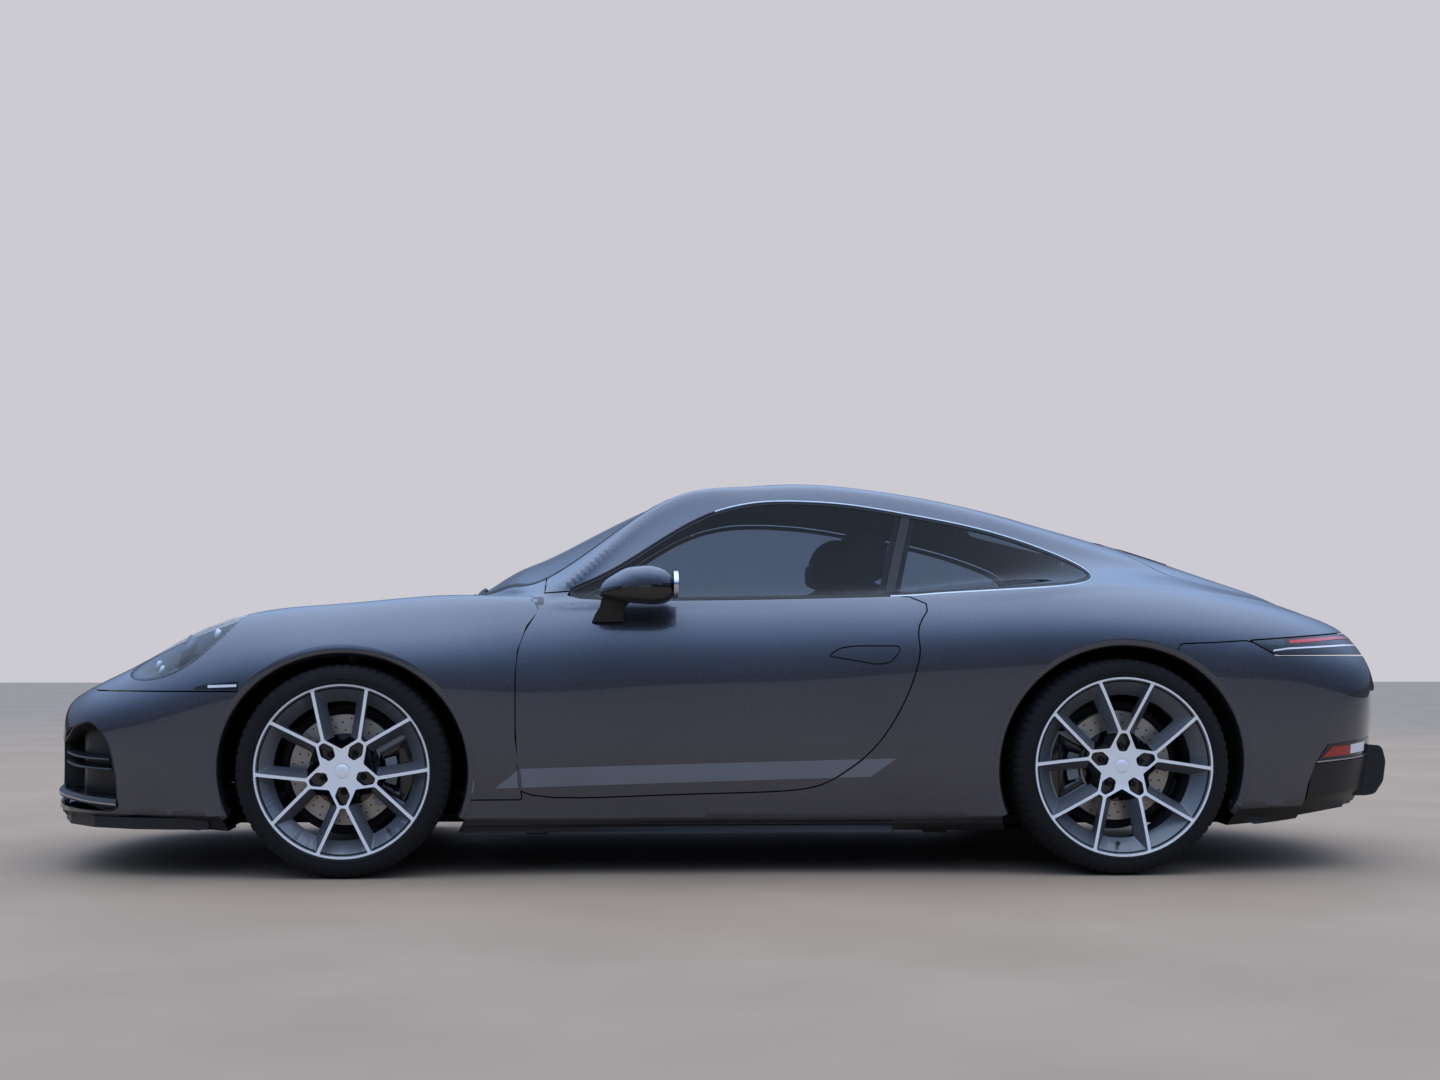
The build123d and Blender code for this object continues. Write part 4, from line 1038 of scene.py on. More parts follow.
# By name: the cutters, depth of the outer and of the inner face, limits and finish.
# Before a cutter's name, + keeps what is in the panel's own zone, * what is in the zone
# with its gap, and - drops that.
OUTER_PANELS = {
    "sill_lower_lip": ("+sill -arch_front -arch_rear -below", 0.0, SHEET, (), "black"),
    "hood_skin": ("+hood -headlamps -cowl", 0.0, SHEET, HOOD_SPAN, "paint"),
    "front_bumper_skin": ("+bumper -hood -headlamps -arch_front -intake -middle_intake -low_lip",
                          0.0, SHEET, (-2290, -1400, 90, 760), "paint"),
    "front_lower_lip": ("+bumper +low_lip -arch_front -intake -below",
                        0.0, SHEET, (-2290, -1400, 90, 300), "black"),
    "front_wing_skins": ("+wing -hood -headlamps -arch_front -screen",
                         0.0, SHEET, (-2200, -560, 200, 1000), "paint"),
    "door_skins": ("+doors -daylight -handles", 0.0, SHEET, DOOR_SPAN, "paint"),
    "rear_lid_skin": ("+lid", 0.0, SHEET, LID_SPAN, "paint"),
    "rear_bumper_skin": ("+rear_bumper -arch_rear -lid -corner -tail_lip",
                         0.0, SHEET, (1300, 2290, 60, 800), "paint"),
    "rear_lower_lip": ("+rear_bumper +tail_lip -arch_rear -corner -below",
                       0.0, SHEET, (1200, 2290, 60, 300), "black"),
    "body_skin": ("-hood -bumper -wing -headlamps -doors -daylight -screen -rear_window -lid -tail_lamp"
                  " -rear_bumper -arch_front -arch_rear -sill -below", 0.0, SHEET, (), "paint")}
INNER_PANELS = {
    "rear_corner": ("+rear_bumper *corner -rear_black", 12.0, 21.0, TAIL_SPAN, "paint"),
    "rear_corner_black": ("+rear_bumper +corner +rear_black", 9.0, 21.0, TAIL_SPAN, "black"),
    "door_handles": ("+handles", -2.5, 8.0, HANDLE_SPAN, "paint"),
    # the black sheet behind the handle's gap stands in for the shade in the recess round the handle:
    # painted shade
    "handle_shade_wells": ("*handles", 9.0, 12.0, HANDLE_SPAN, "black"),
    "intake_backs": ("*intake", 70.0, 74.0, INTAKE_SPAN, "black"),
    "middle_intake_back": ("*middle_intake", 40.0, 44.0, INTAKE_SPAN, "black"),
    "headlining": ("+inner -hole_daylight -hole_screen -hole_rear -arch_rear",
                   14.0, 20.0, (-700, 1400, 540, 1350), "headlining"),
    "door_cores": ("+card +low", BEHIND_SHEET, 92.0, DOOR_SPAN, "leather"),
    "hood_inner": ("+bonnet", BEHIND_SHEET, 24.0, HOOD_SPAN, "black"),
    "rear_lid_inner": ("+deck", BEHIND_SHEET, 24.0, LID_SPAN, "black")}


@dataclass
class BodyPanels:
    """Painted panels cut from the form, with even shut gaps between them."""

    skin: Skin
    finishes: Finishes
    gap: float = 4.4
    trim: float = 9.0
    arch_front: tuple[float, float] = (386.0, 372.0)
    arch_rear: tuple[float, float] = (388.0, 382.0)
    lip: float = 22.0

    def arch(self, axle: float, height: float, radii: tuple[float, float], by: float = 0.0,
             inner: float = 430.0) -> bpy.types.Object:
        """Cutter for the two wheel openings of an axle."""
        turn = np.linspace(0, 2 * math.pi, 120, endpoint=False)
        ring = [(axle + (radii[0] + by) * math.cos(a), height + (radii[1] + by) * math.sin(a))
                for a in turn]
        return plate(ring, "y", inner, 1200, True)

    def headlamp(self, by: float) -> bpy.types.Object:
        """Cutter for the two headlamp wells: an oval looking out and up."""
        centre, along, over, facing = headlamp_axes()
        turn = np.linspace(0, 2 * math.pi, 96, endpoint=False)[:, None]
        long, short = (radius + by for radius in LAMP_RADII)
        ring = centre + long * np.cos(turn) * along + short * np.sin(turn) * over
        points = np.concatenate([ring - facing * 140, ring + facing * LAMP_START])
        count = len(ring)
        faces = [(i, (i + 1) % count, count + (i + 1) % count, count + i) for i in range(count)]
        faces += [tuple(range(count)), tuple(range(count, 2 * count))]
        piece = new_mesh("lamp_cut", points, faces, smooth=False)
        face_outwards(piece)
        return both(piece)

    def zones(self, by: float) -> dict[str, bpy.types.Object]:
        """Cutters over each panel's outline, grown by a distance."""
        return {
            "hood": plate(plan_shape(FRONT_LID_HALF, by), "z", 480, 1100),
            "bumper": plate(grown(eased(BUMPER_SIDE, 30), by), "y", -1200, 1200),
            "doors": plate(grown(rounded(DOOR, 4, 0.9), by), "y", 380, 1200, True),
            "daylight": plate(grown(rounded(DAYLIGHT, 5, 0.9), self.trim), "y", 380, 1200, True),
            "screen": plate(grown(rounded(both_sides(WINDSCREEN_HALF), 5, 0.9), by), "z", 780, 1500),
            "rear_window": plate(plan_shape(REAR_WINDOW_HALF, by), "z", 850, 1500),
            "lid": plate(plan_shape(REAR_LID_HALF, by), "z", 560, 1500),
            "tail_lamp": plate(grown(eased(LAMP_SIDE, 14), by), "y", -1200, 1200),
            "rear_bumper": plate(grown(eased(REAR_BUMPER_SIDE, 20), by), "y", -1200, 1200),
            "corner": plate(grown(eased(REAR_CORNER, 26), by), "y", 300, 1200, True),
            "intake": plate(grown(eased(INTAKE_FRONT, 22), by), "x", -2500, -1950, True),
            "middle_intake": plate(grown(eased(MIDDLE_INTAKE, 16), by), "x", -2500, -1950),
            "handles": plate(grown(eased(HANDLE, 14), by), "y", 600, 1200, True),
            "rear_black": plate(grown(eased(REAR_BLACK, 18), by), "y", 300, 1200, True),
            "headlamps": self.headlamp(by),
            "arch_front": self.arch(FRONT_AXLE, FRONT_HUB, self.arch_front, self.lip),
            "arch_rear": self.arch(REAR_AXLE, REAR_HUB, self.arch_rear, self.lip),
            "wing": self.wing_zone(by),
        }

    def wing_zone(self, by: float) -> bpy.types.Object:
        """Cutter for the front wings in the side view."""
        edge = [(x, z) for x, z in DOOR if x < -600 and z < 900]
        outline = [(-2110, 583), (-2110, 1100), (-600, 1100), (-615, 900), *edge, (-690, 242),
                   (-1000, 242), (-1000, 583)]
        return plate(grown(outline, by), "y", -1200, 1200)

    def fixed(self) -> dict[str, bpy.types.Object]:
        """Cutters that stay the same whichever side of a gap they are for."""
        low = [(-900, 100), (-900, 858), (-560, 858), (-500, 868), (900, 882), (900, 100)]
        inner = [(-640, 905), (500, 905), (560, 560), (1325, 560), (1325, 1400), (-640, 1400)]
        cowl = [(-899, 0), (-891, 200), (-854, 400), (-809, 585), (-780, 700), (-500, 700), (-500, 0)]
        across = {
            "low_lip": [(-2400, 60), (-2400, 195), (-1500, 195), (-1500, 60)],
            "tail_lip": [(1300, 60), (1300, 196), (1810, 212), (2400, 240), (2400, 60)],
            "sill": [(-1400, 60), (-1400, 160), (1376, 160), (1376, 60)]}
        glazed = Glazing(self.skin, self.finishes)
        below = [(-2100, 100), (-2100, 152), (1600, 152), (1800, 168), (1800, 100)]
        return {
            "below": plate(below, "y", -700, 700),
            **{name: plate(outline, "y", -1200, 1200) for name, outline in across.items()},
            "cowl": plate(both_sides(cowl), "z", 480, 1100),
            "inner": plate(inner, "y", -1300, 1300),
            "card": plate(grown(rounded(DOOR, 4, 0.9), -9), "y", 380, 1200, True),
            "low": plate(low, "y", -1300, 1300),
            "bonnet": plate(plan_shape(FRONT_LID_HALF, -28), "z", 480, 1100),
            "deck": plate(plan_shape(REAR_LID_HALF, -28), "z", 560, 1500),
            **{"hole_" + area: glazed.cutter(area, 14) for area in ("daylight", "screen", "rear")}}

    def cut(self, table: dict[str, tuple[str, float, float, tuple[float, ...], str]],
            own: dict[str, bpy.types.Object], other: dict[str, bpy.types.Object]
            ) -> dict[str, bpy.types.Object]:
        """Cuts the panels of a table.

        Args:
            table: by name, as described over OUTER_PANELS.
            own: cutters drawn in by half a gap.
            other: cutters grown by half a gap.

        Returns:
            The panels by name.
        """
        marks = {"+": (Cut.KEEP, own), "*": (Cut.KEEP, other), "-": (Cut.REMOVE, other)}
        out = {}
        for name, (words, top, bottom, span, finish) in table.items():
            steps = [(marks[word[0]][0], marks[word[0]][1][word[1:]]) for word in words.split()]
            piece = self.skin.layer(name, top, bottom, steps, span=span)
            out[name] = self.skin.dress(piece, getattr(self.finishes, finish), top)
            LOG.info("%s: %d faces", name, len(piece.data.polygons))
        return out

    def arch_lips(self) -> dict[str, bpy.types.Object]:
        """The rolled edges of the wheel openings."""
        rolled = [(21.5, 9), (21.5, 0), (12, 1.0), (4, 4.5), (0, 10), (-1.5, 17), (-1.5, 40), (1.5, 40),
                  (2.5, 19), (6, 13)]
        out = {}
        turn = np.radians(np.linspace(203, -23, 110))
        for name, axle, hub, radii in (("arch_lip_front", FRONT_AXLE, FRONT_HUB, self.arch_front),
                                       ("arch_lip_rear", REAR_AXLE, REAR_HUB, self.arch_rear)):
            line = np.stack([axle + radii[0] * np.cos(turn), hub + radii[1] * np.sin(turn)], 1)
            out[name] = self.skin.band(name, line, "side", rolled, self.finishes.paint, False, True)
        return out

    def build(self) -> dict[str, bpy.types.Object]:
        """Cuts every panel.

        Returns:
            The panels by name.
        """
        fixed = self.fixed()
        own, other = ({**self.zones(side * self.gap / 2), **fixed} for side in (-1, 1))
        out = {**self.cut(OUTER_PANELS, own, other), **self.arch_lips(),
               **self.cut(INNER_PANELS, own, other)}
        discard(*{*own.values(), *other.values()})
        return out


def headlamp_axes() -> tuple[np.ndarray, np.ndarray, np.ndarray, np.ndarray]:
    """Centre, long axis, short axis and facing of the right headlamp's oval."""
    along = np.array((0.80, -0.16, 0.57))
    along /= np.linalg.norm(along)
    facing = np.cross(along, np.array((0.22, 0.97, -0.04)))
    facing /= np.linalg.norm(facing)
    return np.array((-1749.0, 740.0, 743.0)), along, np.cross(facing, along), facing


@dataclass
class Glazing:
    """Panes a little under the paint, with seals, frits, posts and a bright line."""

    skin: Skin
    finishes: Finishes
    depth: float = 3.0
    pane: float = 5.0
    clear: float = -4.0
    post_half: float = 17

    def outlines(self, by: float) -> dict[str, tuple[Outline, str]]:
        """Outlines of the glass areas, grown by a distance, and their axes."""
        return {"daylight": (grown(rounded(DAYLIGHT, 5, 0.9), by), "y"),
                "screen": (grown(rounded(both_sides(WINDSCREEN_HALF), 5, 0.9), by), "z"),
                "rear": (plan_shape(REAR_WINDOW_HALF, by), "z")}

    def cutter(self, area: str, by: float) -> bpy.types.Object:
        """Cutter over a glass area."""
        outline, axis = self.outlines(by)[area]
        low, high = (380, 1200) if axis == "y" else (780, 1500)
        return plate(outline, axis, low, high, axis == "y")

    def ring(self, name: str, area: str, outside: float, inside: float, top: float, bottom: float,
             material: bpy.types.Material) -> bpy.types.Object:
        """A band round a glass area, in the layer between two depths."""
        outline, axis = self.outlines(0)[area]
        profile = [(outside, bottom), (outside, top), (inside, top), (inside, bottom)]
        return self.skin.band(name, outline, "side" if axis == "y" else "plan", profile, material,
                              pair=axis == "y")

    def stretch(self, name: str, profile: Outline, material: bpy.types.Material,
                part: Callable[[float, float], bool]) -> bpy.types.Object:
        """The part of a band round the daylight whose points (x, z) pass a test."""
        ring = self.outlines(0)["daylight"][0]
        outline = [tuple(p) for p in resampled([*ring, ring[0]], 1000)[:-1]]
        count = len(outline)
        inside = [part(x, z) for x, z in outline]
        first = next(i for i in range(count) if inside[i] and not inside[i - 1])
        line = [outline[(first + i) % count] for i in range(count) if inside[(first + i) % count]]
        return self.skin.band(name, line, "side", profile, material, closed=False, pair=True)

    def build(self) -> dict[str, bpy.types.Object]:
        """Cuts the panes and everything round them.

        Returns:
            The pieces by name.
        """
        (x0, z0), (x1, z1) = (473, 846), (595, 1225)
        half = self.post_half

        def strip(low: float, high: float) -> bpy.types.Object:
            """Cutter along the post between two distances from its line."""
            outline = [(x0 + low, z0), (x0 + high, z0), (x1 + high, z1), (x1 + low, z1)]
            return plate(outline, "y", -1300, 1300)

        f, out = self.finishes, {}
        upper, lower = self.depth, self.depth + self.pane
        for name, area, by, part, top, bottom, material in (
                ("door_pane", "daylight", self.clear, (-1400, -half), upper, lower, f.glass),
                ("quarter_pane", "daylight", self.clear, (half, 1400), upper, lower, f.glass),
                ("screen_pane", "screen", self.clear, None, upper, lower, f.screen),
                ("rear_pane", "rear", self.clear, None, upper, lower, f.glass),
                ("post_cover", "daylight", -4.4, (1 - half, half - 1), 2.6, 8.5, f.seal),
                ("post_back", "daylight", 8.0, (-2 * half, 2 * half), BEHIND_SHEET, 15.0, f.seal)):
            cutters = [self.cutter(area, by)] + ([strip(*part)] if part else [])
            piece = self.skin.layer(name, top, bottom, [(Cut.KEEP, c) for c in cutters], 1, GLASS_SPAN)
            out[name] = self.skin.dress(piece, material, top)
            discard(*cutters)
        for area in ("screen", "rear"):
            wide, proud = (7.5, -0.8) if area == "screen" else (1.6, 1.4)
            for name, outside, inside, top, material in (
                    (area + "_seal", wide, -4.4 - wide / 2, proud, f.seal),
                    (area + "_frit", -3.6, -46.0, 8.2, f.gloss_black)):
                out[name] = self.ring(name, area, outside, inside, top, 9.0, material)
        out["window_seal"] = self.ring("window_seal", "daylight", 3.4, -4.4, 1.4, 9.0, f.seal)
        bright = [(3.8, 5.0), (3.8, -0.2), (5.0, -0.9), (7.2, -0.9), (8.4, -0.2), (8.4, 5.0)]
        line = self.outlines(0)["daylight"][0]
        front, tip = min(line), max(line)

        def above(x: float, z: float) -> bool:
            """Whether a point lies on the upper side of the daylight."""
            return z > front[1] + (x - front[0]) * (tip[1] - front[1]) / (tip[0] - front[0]) + 0.5

        stretches = {"bright_line": (f.bright, lambda x, z: x > 483 or above(x, z) and x > -60),
                     "pillar_line": (f.seal, lambda x, z: above(x, z) and x < -61),
                     "belt_line_door": (f.seal, lambda x, z: not above(x, z) and x < 481)}
        for name, (material, part) in stretches.items():
            out[name] = self.stretch(name, bright, material, part)
        seam = resampled([(-30, -505), (-18, -300), (-14, 0), (-18, 300), (-30, 505)], 80)
        ridge = [(-2.5, -0.4), (2.5, -0.4), (2.5, 2), (-2.5, 2)]
        out["roof_seam"] = self.skin.band("roof_seam", seam, "plan", ridge, f.seal, False)
        return out


@dataclass
class Lamps:
    """Headlamps, the lamp bar round the tail, markers and reflectors."""

    skin: Skin
    finishes: Finishes

    def build(self) -> dict[str, bpy.types.Object]:
        """Makes every lamp.

        Returns:
            The pieces by name.
        """
        return {**self.headlamps(), **self.tail(), **self.small()}

    def _oval(self, share: float, count: int = 96) -> tuple[np.ndarray, np.ndarray]:
        """Points and normals of the form on a share of the headlamp's oval."""
        centre, along, over, facing = headlamp_axes()
        turn = np.linspace(0, 2 * math.pi, count, endpoint=False)[:, None]
        long, short = LAMP_RADII
        oval = long * np.cos(turn) * along + short * np.sin(turn) * over
        return self.skin.form.cast(centre + facing * LAMP_START + share * oval, -facing, LAMP_REACH)

    def _bowl(self, name: str, rings: Sequence[tuple[float, float, float]], material: bpy.types.Material
              ) -> bpy.types.Object:
        """A closed sheet of rings of the oval: (share, depth along the normal, drop along the axis)."""
        facing = headlamp_axes()[3]
        points = []
        for share, depth, drop in rings:
            spot, normal = self._oval(share)
            points.append(spot - normal * depth - facing * drop)
        faces = grid_faces(len(points), len(points[0]), True, True)
        return both(closed_piece(name, np.concatenate(points), faces, 35, material))

    def _spot(self, name: str, at: tuple[float, float], drop: float, profile: Outline,
              material: bpy.types.Material, count: int = 48) -> bpy.types.Object:
        """A turned part inside the headlamp, looking ahead."""
        centre, along, over, facing = headlamp_axes()
        start = centre + along * at[0] + over * at[1] + facing * LAMP_START
        spot = self.skin.form.cast(start[None], -facing, LAMP_REACH)[0][0] - facing * drop
        points, faces = turned(profile, count)
        ahead = Vector((-0.93, 0.12, 0.34)).normalized()
        turn = np.array(Vector((0, 1, 0)).rotation_difference(ahead).to_matrix())
        return both(closed_piece(name, points @ turn.T + spot, faces, 0, material))

    def headlamps(self) -> dict[str, bpy.types.Object]:
        """Clear lens, seal, dark bowl, projector and light spots of the headlamps."""
        f = self.finishes
        bowls = {
            "headlamp_lens": ([(0.03, 0.6, 0), (0.4, 0.4, 0), (0.75, 0.2, 0), (0.96, 0.6, 0),
                               (0.99, 1.8, 0), (0.99, 5, 0), (0.75, 4.6, 0), (0.4, 4.6, 0),
                               (0.03, 4.6, 0)], f.lens),
            "headlamp_seal": ([(0.985, 2.6, 0), (1.008, 1.6, 0), (1.008, 9, 0), (0.985, 9, 0)], f.seal),
            "headlamp_bowl": ([(1.0, 6, 0), (0.93, 6.5, 0), (0.86, 9, 14), (0.78, 9, 40), (0.5, 9, 52),
                               (0.03, 9, 54), (0.03, 9, 58), (0.54, 9, 56), (0.84, 9, 44), (1.0, 9, 6)],
                              f.gloss_black)}
        eyes = {
            "headlamp_rings": ([(47, 2), (52, 14), (58, 18), (60, 16), (56, -14), (47, -16)],
                               f.dark_chrome),
            "headlamp_eyes": ([(0.4, 16), (14, 14.5), (28, 9), (40, 0), (46, -10), (46, -16), (0.4, -16)],
                              f.gloss_black)}
        parts = {name: self._bowl(name, rings, material) for name, (rings, material) in bowls.items()}
        for name, (profile, material) in eyes.items():
            parts[name] = self._spot(name, (-20, 0), 46, profile, material)
        dot = [(0.4, 6), (12, 4), (15, 0), (15, -8), (0.4, -8)]
        spots = [self._spot("spot", at, 26, dot, f.led, 24)
                 for at in ((-118, -34), (-118, 34), (88, -34), (88, 34))]
        parts["headlamp_spots"] = join(spots, "headlamp_spots")
        return parts

    def tail(self) -> dict[str, bpy.types.Object]:
        """The dark lamp bar with its red and white guides, right round the tail."""
        f, keep = self.finishes, Cut.KEEP
        lid = plate(plan_shape(REAR_LID_HALF, 2.2), "z", 560, 1500)
        whole = plate(grown(eased(LAMP_SIDE, 14), -2.2), "y", -1200, 1200)
        lines = {
            "tail_lens": (0.4, 12.0, None, f.gloss_black),
            "tail_red_bar": (-0.8, 5.0, [(1747, 732), (1752, 743), (1955, 757), (2400, 757), (2400, 746),
                                         (1950, 747)], f.tail_red),
            "tail_white_line": (-0.5, 5.0, [(1690, 707), (1744, 714), (1977, 725), (2400, 727), (2400, 732),
                                            (1977, 730), (1744, 719), (1690, 712)], f.led),
            "tail_clear_end": (-0.3, 5.0, [(1622, 736), (1630, 745), (1722, 752), (1738, 738), (1725, 724),
                                           (1664, 728)], f.lens)}
        out = {}
        for name, (top, bottom, outline, material) in lines.items():
            steps = [(keep, whole), (Cut.REMOVE, lid)]
            part = plate(outline, "y", -1200, 1200) if outline else None
            if part:
                steps.append((keep, part))
            piece = self.skin.layer(name, top, bottom, steps, span=(1560, 2290, 670, 790))
            out[name] = self.skin.dress(piece, material, top)
            if part:
                discard(part)
        discard(lid, whole)
        return out

    def small(self) -> dict[str, bpy.types.Object]:
        """Side markers at the front, and reflectors with their bezels at the rear."""
        f, patch = self.finishes, self.skin.patch
        table = (
            ("marker_recess", [(-1699, 588), (-1556, 588)], [(-1690, 597), (-1640, 607), (-1556, 614)],
             -0.2, 4, f.gloss_black),
            ("marker_bar", [(-1652, 594), (-1562, 597)], [(-1652, 602), (-1562, 605)], -0.8, 2, f.led),
            ("reflector_bezel", [(1862, 359), (2131, 374)], [(1895, 407), (2108, 425)],
             9, 14, f.gloss_black),
            ("reflector_red", [(1874, 366), (1984, 375)], [(1913, 401), (1983, 404)], 7.5, 11, f.reflector),
            ("reflector_pale", [(1987, 376), (2062, 382)], [(1986, 405), (2060, 413)], 7.5, 11, f.led),
            ("reflector_lip", [(1852, 350), (2131, 368)], [(1854, 355), (2131, 373)], 5.5, 13, f.bright))
        return {name: patch(name, one, two, "side", top, bottom, material)
                for name, one, two, top, bottom, material in table}


@dataclass
class Trim:
    """Mirrors, stripes, intake blades, exhaust tips and diffuser fins."""

    skin: Skin
    finishes: Finishes
    louvres: bpy.types.Object = field(init=False)
    wipers: bpy.types.Object = field(init=False)

    def stripes(self) -> dict[str, bpy.types.Object]:
        """The plain film along the foot of the door, in three lengths."""
        edges = {"stripe_front": ([(-769, 278), (-697, 280)], [(-768, 279), (-699, 334)]),
                 "stripe_door": ([(-684, 280.4), (298, 308.7)], [(-690, 340), (381, 367.2)]),
                 "stripe_rear": ([(309, 309), (411, 312)], [(393, 367.5), (492, 370)])}
        return {name: self.skin.patch(name, one, two, "side", -0.3, 0.8, self.finishes.decal,
                                      name != "stripe_door", (60, 5))
                for name, (one, two) in edges.items()}

    def mirror(self) -> bpy.types.Object:
        """A right door mirror: painted cap over a dark foot, and its glass."""
        f = self.finishes
        outline = np.array(eased([(-452, 881), (-432, 925), (-361, 968), (-282, 976), (-228, 960),
                                  (-203, 925), (-203, 878), (-232, 857), (-270, 852), (-339, 857),
                                  (-400, 862), (-440, 872)], 22, 3))
        middle = np.array((-322.0, 915.0))
        rings = []
        for y, size in ((846, 0.55), (850, 0.8), (862, 0.93), (890, 0.995), (930, 1.0), (965, 0.97),
                        (990, 0.88), (1004, 0.72), (1011, 0.5), (1014, 0.2)):
            flat = middle + (outline - middle) * size
            rings.append(np.stack([flat[:, 0] + (1 - size) * 20, np.full(len(flat), y), flat[:, 1]], -1))
        head = lofted("mirror", rings, 0, f.paint)
        head.data.materials.append(f.gloss_black)
        for face in head.data.polygons:
            x, _, z = face.center / MM
            face.material_index = int(z < 903 + max(0.0, (x + 320) * 0.14) or x < -436)
        turn = np.linspace(0, 2 * math.pi, 40, endpoint=False)
        foot = [np.stack([cx + rx * np.cos(turn), cy + ry * np.sin(turn), np.full(40, z)], -1)
                for z, cx, cy, rx, ry in ((800, -414, 858, 52, 16), (822, -410, 868, 47, 17),
                                          (845, -402, 880, 40, 18), (862, -392, 892, 46, 24),
                                          (884, -380, 902, 56, 34))]
        turn = np.linspace(0, 2 * math.pi, 48, endpoint=False)
        pane = [np.stack([np.full(48, x), 932 + a * np.cos(turn), 914 + b * np.sin(turn)], -1)
                for x, a, b in ((-214, 70, 46), (-200, 70, 46), (-198.6, 68, 44))]
        piece = join([head, lofted("stalk", foot, 0, f.black), lofted("mirror_pane", pane, 0, f.mirror)],
                     "mirror")
        piece.data.set_sharp_from_angle(angle=math.radians(42))
        return piece

    def nose(self) -> dict[str, bpy.types.Object]:
        """Blades, duct walls and the ledge of the outer intakes."""
        f, band = self.finishes, self.skin.band
        out = {}
        blade = [(-3.5, 16), (0, 13), (3.5, 16), (4.5, 60), (-4.5, 60)]
        for k, (z0, z1) in enumerate(((378, 365), (346, 334))):
            line = resampled([(352, z0 - 4), (600, z0), (816, z1)], 40)
            out[f"intake_blade_{k}"] = band(f"intake_blade_{k}", line, "front", blade, f.black, False, True)
        lip = resampled([(330, 250), (597, 248), (700, 242), (806, 229)], 40)
        bars = {
            "intake_wall": (eased(INTAKE_FRONT, 22), [(3.5, 9), (3.5, 1.5), (1.0, 1.0), (-1.5, 3),
                                                      (-1.5, 72), (2, 72)], f.black, True, True),
            "intake_ledge": (lip, [(-12, 4), (-9, -6), (4, -7), (14, 2), (14, 12), (-12, 12)],
                             f.black, False, True),
            "intake_strip": (lip, [(-3, -8.6), (3, -8.8), (3.4, -5.5), (-3.4, -5)], f.bright, False, True),
            "middle_wall": (eased(MIDDLE_INTAKE, 16), [(3, 9), (3, 1.5), (-1.5, 2), (-1.5, 42), (2, 42)],
                            f.black, True, False)}
        for name, (line, profile, material, closed, pair) in bars.items():
            out[name] = band(name, line, "front", profile, material, closed, pair)
        return out

    def tail(self) -> dict[str, bpy.types.Object]:
        """Exhaust tips with dark bores, the silencer behind them and diffuser fins."""
        f, skin = self.finishes, self.skin

        def tube(name: str, profile: Outline, material: bpy.types.Material) -> bpy.types.Object:
            """A turned tube along X at the right tailpipe."""
            points, faces = turned(profile, 64)
            return both(closed_piece(name, points[:, [1, 0, 2]] + (0, 590, 352), faces, 35, material))

        tip = tube("exhaust_tips", [(38.5, 2062), (38.5, 2155), (39.5, 2163), (41, 2165.5), (42.5, 2163),
                                    (43, 2150), (43, 2062)], f.dark_chrome)
        bore = tube("exhaust_bores", [(0.4, 2076), (38.6, 2076), (38.6, 2140), (38.2, 2140), (37.8, 2080),
                                      (0.4, 2080)], f.gloss_black)
        side = [(2020, 398), (2140, 397), (2155, 388), (2166, 345), (2158, 278), (2130, 236), (2100, 230),
                (2020, 230)]
        surround = prism("exhaust_surrounds", eased(side, 10), "y", 530, 642)
        turn = np.linspace(0, 2 * math.pi, 64, endpoint=False)
        hole = plate([(590 + 47 * math.cos(a), 352 + 47 * math.sin(a)) for a in turn], "x", 1900, 2300)
        carve(surround, [(Cut.REMOVE, hole)])
        discard(hole)
        surround.data.set_sharp_from_angle(angle=math.radians(35))
        f.wear(surround, f.black)
        outline = eased([(1902, 358), (2060, 358), (2078, 400), (2070, 538), (1902, 538)], 30)
        can = prism("exhaust_can", outline, "y", -480, 480)
        f.wear(can, f.cast)
        blade = eased([(1905, 196), (2180, 226), (2208, 262), (2190, 262), (2060, 236), (1905, 216)], 8)
        fin = prism("fin", blade, "y", -3, 3)
        fins = Repeater("diffuser_fins").run(fin, f.black, 6, move=(0, 0.14, 0))
        fins.data.transform(Matrix.Translation((0, -0.35, 0)))
        discard(fin)
        slats = []
        for k in range(-11, 12):
            line = resampled([(1392, k * 27), (1392 + 150, k * 27 * 0.94)], 12)
            slats.append(skin.band("slat", line, "plan", [(-4, -3), (4, -3), (5, 2), (-5, 2)],
                                   f.gloss_black, False))
        slats.append(skin.patch("slat_bed", [(1380, -330), (1560, -318)], [(1380, 330), (1560, 318)],
                                "plan", -0.4, 6, f.black, False, (24, 30)))
        self.louvres = join(slats, "lid_louvres")
        blade = [(-5, -9), (5, -9), (7, -1), (-7, -1)]
        arms = [skin.band("wiper", resampled(line, 30), "plan", blade, f.black, False)
                for line in ([(-856, -420), (-842, -160), (-838, 140)],
                             [(-850, 160), (-820, 380), (-752, 540)])]
        self.wipers = join(arms, "wipers")
        return {"exhaust_surrounds": both(surround), "exhaust_tips": tip, "exhaust_bores": bore,
                "exhaust_can": can, "diffuser_fins": fins}


